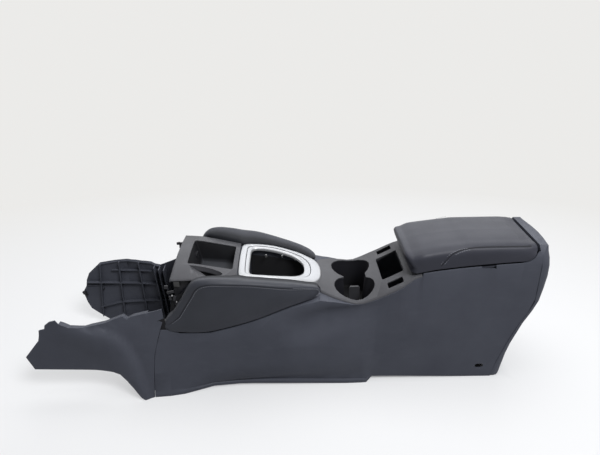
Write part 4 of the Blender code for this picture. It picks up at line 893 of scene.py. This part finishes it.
surround_ring("surround_outer_ring", "shift_bezel", (
    (1.0, -5.0), (1.0, -1.4), (1.0, -0.5, -0.3), (1.0, 0.1, -0.9), (1.0, 0.5, -1.9), (0.85, 1.1),
    (0.7, 1.5), (0.55, 1.3), (0.46, 0.9), (0.42, 0.4), (0.405, -0.4), (0.4, -4.5),
    (0.4, -4.5, 1.8), (0.5, -1.4), (1.0, -2.4, -3.0), (1.0, -5.0, -1.8),
))
surround_ring("surround_inner_ring", "shift_bezel_inner", (
    (0.4, -1.3, -0.9), (0.39, -0.9, -1.5), (0.3, -1.0), (0.2, -1.7), (0.1, -2.8), (0.03, -4.0),
    (0.0, -5.4), (0.0, -9.5), (0.0, -9.5, 1.8), (0.0, -7.0, 1.8), (0.4, -3.4, -1.0),
))


# Dark felt sheets behind the left finisher's seam, under the knee pads and under the shifter opening's side,
# which stand for the shade in these gaps


def shade_felt_strip(name, corners, thickness):
    """A strip bent to a row of corners: each is a station, the strip's y and its two heights."""
    spans = len(corners) - 1
    bpy.ops.object.select_all(action="DESELECT")
    bpy.ops.mesh.primitive_grid_add(x_subdivisions=spans, y_subdivisions=1, size=1.0)
    made = bpy.context.object
    made.name = name
    for vertex in made.data.vertices:
        s, y, low, high = corners[round((vertex.co.x + 0.5) * spans)]
        vertex.co = place(s, y, high if vertex.co.y > 0 else low)
    wall = made.modifiers.new("thickness", "SOLIDIFY")
    wall.thickness = thickness * MM
    wall.offset = 0.0
    apply_all(made)
    finish_piece(made, "console", FELT)


for side, name in ((-1, "left"), (1, "right")):
    shade_felt_strip(
        f"pad_felt_{name}",
        [(302, side * 88, 128, 158), (345, side * 88, 124, 158), (400, side * 90, 124, 162)], 1.2,
    )
shade_felt_strip("opening_felt", [(462, 66.5, 110, 231), (510, 64.5, 110, 226), (580, 55.5, 110, 214)], 1.0)
shade_felt_strip(
    "seam_felt_left", [(262, -112.6, 124, 158), (276, -112.2, 124, 178), (292, -111.4, 126, 184)], 1.0,
)


# Black shroud round the leaf-shaped opening, under the tray trim, which stands for the shade down in the
# opening

LEAF_SHROUD_FOOT, LEAF_SHROUD_HEIGHT, LEAF_SHROUD_WALL = 241.0, 14.5, 0.8
LEAF_SHROUD = (
    (346, -49), (362, -49.5), (378, -51), (394, -55), (406, -60), (413.5, -67), (412, -75),
    (400, -81), (384, -84.5), (368, -82), (355, -73), (346, -60),
)
bpy.ops.object.select_all(action="DESELECT")
bpy.ops.mesh.primitive_circle_add(vertices=len(LEAF_SHROUD), radius=0.05, fill_type="NGON")
shroud = bpy.context.object
shroud.name = "leaf_shroud"
for vertex, (s, y) in zip(shroud.data.vertices, LEAF_SHROUD):
    vertex.co = place(s, y, LEAF_SHROUD_FOOT)
bpy.ops.object.mode_set(mode="EDIT")
bpy.ops.mesh.select_all(action="SELECT")
bpy.ops.mesh.extrude_region_move(TRANSFORM_OT_translate={"value": (0, 0, LEAF_SHROUD_HEIGHT * MM)})
bpy.ops.mesh.delete(type="ONLY_FACE")
bpy.ops.object.mode_set(mode="OBJECT")
wall = shroud.modifiers.new("thickness", "SOLIDIFY")
wall.thickness = LEAF_SHROUD_WALL * MM
apply_all(shroud)
finish_piece(shroud, "console", FELT)


# Small fittings that the photograph shows. A block's bevel is a share of its least side.

BLOCK_BEVEL = 0.22

def fittings(name, material, rows):
    """A piece made of small blocks, each given as its place, its size and its turn about Y."""
    blocks = []
    for where, size, turn in rows:
        bpy.ops.object.select_all(action="DESELECT")
        bpy.ops.mesh.primitive_cube_add(size=MM)
        bpy.ops.object.mode_set(mode="EDIT")
        bpy.ops.mesh.select_all(action="SELECT")
        bpy.ops.transform.resize(value=size)
        bpy.ops.mesh.bevel(offset=BLOCK_BEVEL * min(size) * MM, segments=2)
        bpy.ops.mesh.select_all(action="SELECT")
        bpy.ops.transform.rotate(value=radians(turn), orient_axis="Y", center_override=(0, 0, 0))
        bpy.ops.transform.translate(value=place(*where))
        bpy.ops.object.mode_set(mode="OBJECT")
        blocks.append(bpy.context.object)
    made = joined(blocks, name)
    bpy.ops.object.shade_smooth_by_angle(angle=radians(SMOOTH_ANGLE))
    finish_piece(made, "console", material)


fittings("bracket_parts_left", BLACK, (
    ((308, -100.5, 240), (15, 3.5, 5), 12), ((315, -102, 226), (6, 4, 12), -14),
    ((306, -100, 225), (5, 3, 9), 8), ((321, -102.5, 214), (12, 3, 5), 35),
    ((327, -101.5, 203), (5, 4, 10), 20), ((300, -99, 251), (8, 4, 7), 0),
))
fittings("bracket_screws_near", STEEL, (
    ((311, -102.6, 233), (3, 1.6, 2.2), 20), ((319, -104.4, 219), (2.2, 1.4, 3), 0),
    ((324, -103.6, 208), (3, 1.4, 2), 40),
))
fittings("surround_clips", STEEL, (
    ((497, 51, 236), (5, 1.6, 7), 12), ((534, 50, 235), (4, 1.6, 6), -10),
    ((564, 42, 231), (5, 1.6, 6), 25),
))
fittings("finish_tab_right", BLACK, (
    ((297, 89, 246), (9, 5, 17), 0), ((291, 89, 252), (8, 5, 6), 10), ((303, 89, 240), (12, 5, 6), -8),
))
fittings("finisher_peg_right", BLACK, (
    ((33, 124, 97.5), (9, 7, 9), 20), ((37, 124, 90), (6, 6, 5), 0), ((84, 122.5, 108.5), (3, 3, 3), 0),
))
fittings("finisher_ledge_right", CHARCOAL, (((76, 123.4, 119.6), (64, 3.5, 1.4), 1),))
# Dark felt behind the rear slots, which stands for the shade inside them
for side, name in ((-1, "left"), (1, "right")):
    fittings(f"slot_felt_{name}", FELT, (((973, side * 82, 29), (24, 2, 20), 0),))


# Armrest cover

# Sizes of the lid as in the part's source, apart from its nose and heel, which are rounder
LID_FRONT, LID_HALF = 790.0, 82.0
LID_NOSE, LID_NOSE_PLAN, LID_NOSE_RISE, LID_HEEL_PLAN = 20.0, 17.0, 6.0, 6.0
LID_UNDERCUT, LID_UNDERCUT_END = 12.0, 850.0
LID_SKIN_DEPTH = 9.0
HINGE_STATION, HINGE_Z, HINGE_REACH, HINGE_HALF, HINGE_ROOM = 1055.5, 310.0, 8.6, 36.0, 6.5
LID_REAR = HINGE_STATION + HINGE_REACH
LID_INNER_REAR, LID_INNER_FOOT = 1044.0, 240.0
LID_INNER_STATIONS = (LID_FRONT + LID_NOSE, 828, 850, 905, 985, 1020, LID_INNER_REAR)
LID_HEEL = (
    (1030, 250), (1034, 280), (1036, 283), (1040, 288), (1046.5, 291.5), (1052, 297), (1056.5, 303.5),
    (1059, 308), (1090, 308), (1090, 250),
)
LID_LOWER = Line((805, 263), (860, 272), (942, 281), (1044, 288), (1063, 288.5))
LID_CREASE = Line(
    (805, 77, 299.5), (825, 80.5, 306.3), (845, 79.5, 309.6), (865, 78.6, 312.4),
    (905, 78.4, 316.8), (925, 78, 318.9), (1025, 78, 319.5), (1045, 77, 319), (1063, 72, 317),
)
LID_BULGE = Line((800, 4.0), (1010, 4.0), (1030, 3.0), (HINGE_STATION - 1, 0.0), (1070, 0.0))
LID_SIDE_STEPS, LID_TOP_STEPS = 20, 34
LID_STEP = 2.9
# Rings that crown the nose's face: their size as a share of it and how far forward they lie
LID_NOSE_RINGS = ((0.94, 0.5), (0.8, 1.1), (0.55, 1.5), (0.25, 1.7))
# The sewn join on each side: up from the lower edge in an arc, then back along the crease
LID_SEAM_WIDTH, LID_SEAM_DEPTH, LID_SEAM_INNER = 0.9, 0.8, 66.0
LID_SEAM = (
    (862, 279.4), (868.5, 290), (876.5, 300), (885, 307), (896, 311.8), (908, 315), (922, 317),
    (947, 318.0), (985, 318.3), (1020, 318.3), (1046, 318.0),
)
LID_STITCHES = (
    ((859.5, 281), (865, 291.5), (873, 302.3), (881.5, 308.6), (892, 313.2), (905, 316.4), (918, 318.4)),
    ((866.5, 281), (872.5, 290), (881, 298.8), (889, 305), (900.5, 310.2), (912, 313.6), (924, 315.4)),
)


def arc_inset(distance, radius):
    """How far a rounded corner lies inside the square one, at a distance from its end."""
    left = min(max(radius - distance, 0.0), radius)
    return radius - (radius**2 - left**2) ** 0.5


def lid_half_section(station, inward=0.0, lower=None):
    """Corner points of the lid's half-section as (half, z), as in the part's source."""
    ahead, behind = station - LID_FRONT, LID_REAR - station
    drawn = arc_inset(ahead, LID_NOSE_PLAN) + arc_inset(behind, LID_HEEL_PLAN)
    half, top = LID_CREASE(station)
    if station > HINGE_STATION:
        top = HINGE_Z + max(HINGE_REACH**2 - (station - HINGE_STATION) ** 2, 0.0) ** 0.5
    half = half - drawn - inward
    top = top - 0.7 * arc_inset(ahead, LID_NOSE_RISE) - inward
    side = LID_HALF - drawn - inward
    bulge = LID_BULGE(station)
    reference = LID_LOWER(station)
    if lower is None:
        lower = min(reference, top - 1.0)
    points = [(side, lower), (side, max(lower, reference + (top - reference) * 0.35))]
    points += [(half + 1.6, max(lower, top - 8)), (half - 1.5, max(lower, top - 2.2))]
    points += [(half - 7, top + bulge * 0.05), (half * 0.6, top + bulge * 0.7), (0, top + bulge)]
    return points


def across(station, half_section):
    """A whole section from its half, given as (half, z) from the foot up to the middle."""
    left = [(station, -half, z) for half, z in half_section]
    return left + [(station, half, z) for half, z in half_section[-2::-1]]


def lid_skin_loop(station):
    """A closed section of the cover, rounder towards the nose and crisp where the seam runs."""
    corner = lid_half_section(station)
    side = even(corner[:4], LID_SIDE_STEPS + 1)
    top = even(corner[3:], LID_TOP_STEPS + 1)
    half = np.vstack([side, top[1:]])
    soft = int(3 + 12 * clamped((905 - station) / 70))
    for _ in range(soft):
        half[1:-1] = (half[:-2] + 2 * half[1:-1] + half[2:]) / 4
    return across(station, half)


def lid_stations():
    nose = [LID_FRONT + LID_NOSE_PLAN * (1 - cos(a)) for a in np.linspace(0, pi / 2, 12)]
    middle = np.arange(LID_FRONT + LID_NOSE_PLAN + LID_STEP, HINGE_STATION - 2, LID_STEP)
    heel = [HINGE_STATION + HINGE_REACH * sin(a) for a in np.linspace(0, pi / 2, 8)]
    return nose + list(middle) + heel


def block(name, outline, reach):
    """A cutter: an outline of (station, z) pairs extruded across the lid, as far to both sides."""
    return skin(name, *capped([[(s, y, z) for s, z in outline] for y in (-reach, reach)]))


def carve(piece, *cutters):
    for cutter in cutters:
        modifier = piece.modifiers.new("carve", "BOOLEAN")
        modifier.operation = "DIFFERENCE"
        modifier.solver = "EXACT"
        modifier.object = cutter
    apply_all(piece)
    for cutter in cutters:
        bpy.data.objects.remove(cutter, do_unlink=True)


def press_seams(piece, line):
    """Refines the mesh beside the seam's line on both sides of the lid, sinks a groove along it and paints
    shade into the groove.
    """
    bm = bmesh.new()
    bm.from_mesh(piece.data)

    def reach():
        at = np.array([v.co for v in bm.verts]) / MM
        at[:, 0] += HALF_LENGTH
        found = beside_line(line, at[:, (0, 2)])[0]
        return np.where(np.abs(at[:, 1]) > LID_SEAM_INNER, found, FAR)

    for near in (4.5, 2.6):
        close = reach() < near
        bm.verts.ensure_lookup_table()
        bm.verts.index_update()
        edges = [e for e in bm.edges if close[e.verts[0].index] or close[e.verts[1].index]]
        bmesh.ops.subdivide_edges(bm, edges=edges, cuts=1, use_grid_fill=True)
        bm.verts.index_update()
    bm.normal_update()
    found = reach()
    # The groove's share is kept as painted shade, which the leather turns into a darker colour down the
    # seam.
    layer = bm.verts.layers.float.new("seam")
    for vertex, away in zip(bm.verts, found):
        share = float(np.exp(-((away / LID_SEAM_WIDTH) ** 2))) if away < LID_SEAM_WIDTH * 3 else 0.0
        vertex.co -= vertex.normal * LID_SEAM_DEPTH * MM * share
        vertex[layer] = share
    bm.to_mesh(piece.data)
    bm.free()
    piece.data.shade_smooth()


def undercut(point, brow):
    """Draws the nose back under its brow, so that its top edge is the foremost line."""
    s, y, z = point
    low = clamped((brow - 5.0 - z) / 22.0)
    return (s + LID_UNDERCUT * low**1.3 * clamped((LID_UNDERCUT_END - s) / 60.0), y, z)


def lid_cover():
    """The armrest's soft cover: one crowned moulding with a sewn join along each side."""
    loops = [lid_skin_loop(s) for s in lid_stations()]
    first = np.array(loops[0])
    low = first[:, 2].min()
    middle = np.array([LID_FRONT, 0.0, (low + first[:, 2].max()) / 2])
    rings = []
    for share, swell in LID_NOSE_RINGS[::-1]:
        ring = middle + (first - middle) * share
        ring[:, 0] -= swell
        rings.append([tuple(p) for p in ring])
    loops = [[undercut(p, first[:, 2].max()) for p in loop] for loop in rings + loops]
    cover = skin("armrest_cover", *capped(loops))
    finish_piece(cover, "lid", LID_SKIN)
    press_seams(cover, even(LID_SEAM, 60))
    inner = [across(s, lid_half_section(s, LID_SKIN_DEPTH, LID_INNER_FOOT)) for s in LID_INNER_STATIONS]
    inside = skin("armrest_inside", *capped(inner))
    turns = [radians(a) for a in (-60, -30, 0, 30, 60, 90)]
    arch = [(HINGE_STATION + HINGE_ROOM * sin(a), HINGE_Z + HINGE_ROOM * cos(a)) for a in turns]
    front = LID_INNER_REAR - 4
    slot = [(front, 250), (front, HINGE_Z - 0.5)] + arch + [(1090, HINGE_Z), (1090, 250)]
    heel = block("armrest_heel", LID_HEEL, 120)
    carve(cover, inside, heel, block("armrest_slot", slot, HINGE_HALF + 1))
    cover.data.set_sharp_from_angle(angle=radians(CREASE_ANGLE))
    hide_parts("lid_pad")


def side_half(station, z):
    """Half-width of the cover's side at a height."""
    corner = sorted(lid_half_section(station)[:4], key=lambda p: p[1])
    return float(np.interp(z, [p[1] for p in corner], [p[0] for p in corner]))


lid_cover()
for side, name in ((-1, "left"), (1, "right")):
    for number, line in enumerate(LID_STITCHES):
        track = even(line, 40)
        track = [(s, side * (side_half(s, z) + 0.05), z) for s, z in track]
        tilt = [(0, side, 0.12 + 1.2 * clamped((z - 308) / 10)) for _, _, z in track]
        stitch_row(f"armrest_stitches_{number + 1}_{name}", track, tilt, "lid")


# Floor, light and camera

# The paper's glow colours: the near one, brighter, is a painted pool of light round the console; the far one
# is the backdrop's tone
PAPER_NEAR, PAPER_FAR = (0.90, 0.905, 0.915), (0.835, 0.83, 0.815)
PAPER_DULL = (0.22, 0.225, 0.24, 1.0)
SKY_FILL, SKY_FILL_STRENGTH = (0.93, 0.955, 1.0, 1.0), 0.26
# In metres: the distances between which the paper's glow fades from its painted pool of light to its far
# tone, and the console's footprint on it
FADE_START, FADE_END, FADE_SQUEEZE = 0.38, 1.1, (0.6, 1.0, 1.0)
FOOT_MIDDLE, FOOT_HALF_LENGTH, FOOT_HALF_WIDTH = 0.075, 0.40, 0.085
FLOOR_SIZE = 120.0


def floor_sheet():
    """Matt white paper, which the camera sees brighter than it lights the object.

    It glows a little, least under the console, so that the shadow round the console stays.
    """
    finish = Finish("floor_sheet")
    soft = finish.noise(900.0, 2.0)
    finish.set(Base_Color=finish.blend(soft, (0.60, 0.601, 0.604), (0.62, 0.621, 0.624)), Roughness=0.9)
    dull = finish.node("ShaderNodeBsdfDiffuse", None, Color=PAPER_DULL)["BSDF"]
    flat = finish.node("ShaderNodeMapping", None, Vector=finish.position, Scale=FADE_SQUEEZE)["Vector"]
    away = finish.node("ShaderNodeVectorMath", {"operation": "LENGTH"}, Vector=flat)["Value"]
    away = away.step(FADE_START, FADE_END)
    glow = finish.node("ShaderNodeEmission", None, Color=finish.blend(away, PAPER_NEAR, PAPER_FAR))
    axes = finish.node("ShaderNodeSeparateXYZ", None, Vector=finish.position)
    past_end = (axes["X"] - FOOT_MIDDLE).math("ABSOLUTE") - FOOT_HALF_LENGTH
    past_side = axes["Y"].math("ABSOLUTE") - FOOT_HALF_WIDTH
    clear = past_end.math("MAXIMUM", past_side).step(-0.01, 0.03)
    lit = Value(finish, finish.shader.outputs[0])
    paper = finish.mixed((away * 0.55 + 0.45) * clear, lit, glow["Emission"])
    surface = finish.tree.nodes["Material Output"].inputs["Surface"]
    finish.feed(surface, finish.mixed(finish.looked_at(), dull, paper))
    return finish.material


bpy.ops.mesh.primitive_plane_add(size=FLOOR_SIZE)
floor = bpy.context.object
floor.name = "floor"
floor.data.materials.append(floor_sheet())

world = bpy.data.worlds.new("studio")
bpy.context.scene.world = world
world.use_nodes = True
world.node_tree.nodes.clear()
sky = Nodes(world.node_tree)
fill = sky.node("ShaderNodeBackground", None, Color=SKY_FILL, Strength=SKY_FILL_STRENGTH)["Background"]
seen = sky.node("ShaderNodeBackground", None, Color=(*PAPER_FAR, 1.0), Strength=1.0)["Background"]
sky.node("ShaderNodeOutputWorld", None, Surface=sky.mixed(sky.looked_at(), fill, seen))

# Lamps: place and target in metres, width and depth, watts and colour
LAMPS = {
    "overhead": ((0.1, 0.4, 2.4), (0, 0, 0.1), (2.6, 1.8), 46.0, (1.0, 1.0, 1.0)),
    "rear_softbox": ((0.2, 2.4, 1.5), (0, 0, 0.2), (3.6, 1.6), 36.0, (0.94, 0.965, 1.0)),
    "near_key": ((1.1, -1.6, 2.6), (0, 0, 0.15), (1.1, 0.9), 92.0, (0.97, 0.98, 1.0)),
}
for name, (where, towards, size, power, colour) in LAMPS.items():
    data = bpy.data.lights.new(name, "AREA")
    data.shape = "RECTANGLE"
    data.size, data.size_y = size
    data.energy = power
    data.color = colour
    lamp = added(name, data)
    lamp.location = where
    lamp.rotation_euler = (Vector(towards) - Vector(where)).to_track_quat("-Z", "Y").to_euler()

# The camera's place in metres, its turn in degrees and its lens, solved from the photograph
CAMERA_PLACE, CAMERA_TURN, CAMERA_LENS = (-0.0071, -0.9772, 0.8105), (63.95, 0.0, -1.81), 30.53

camera_data = bpy.data.cameras.new("camera")
camera_data.lens = CAMERA_LENS
camera_data.sensor_width = 36.0
camera = added("camera", camera_data)
camera.location = CAMERA_PLACE
camera.rotation_euler = [radians(turn) for turn in CAMERA_TURN]
bpy.context.scene.camera = camera
bpy.context.scene.view_settings.view_transform = "Standard"
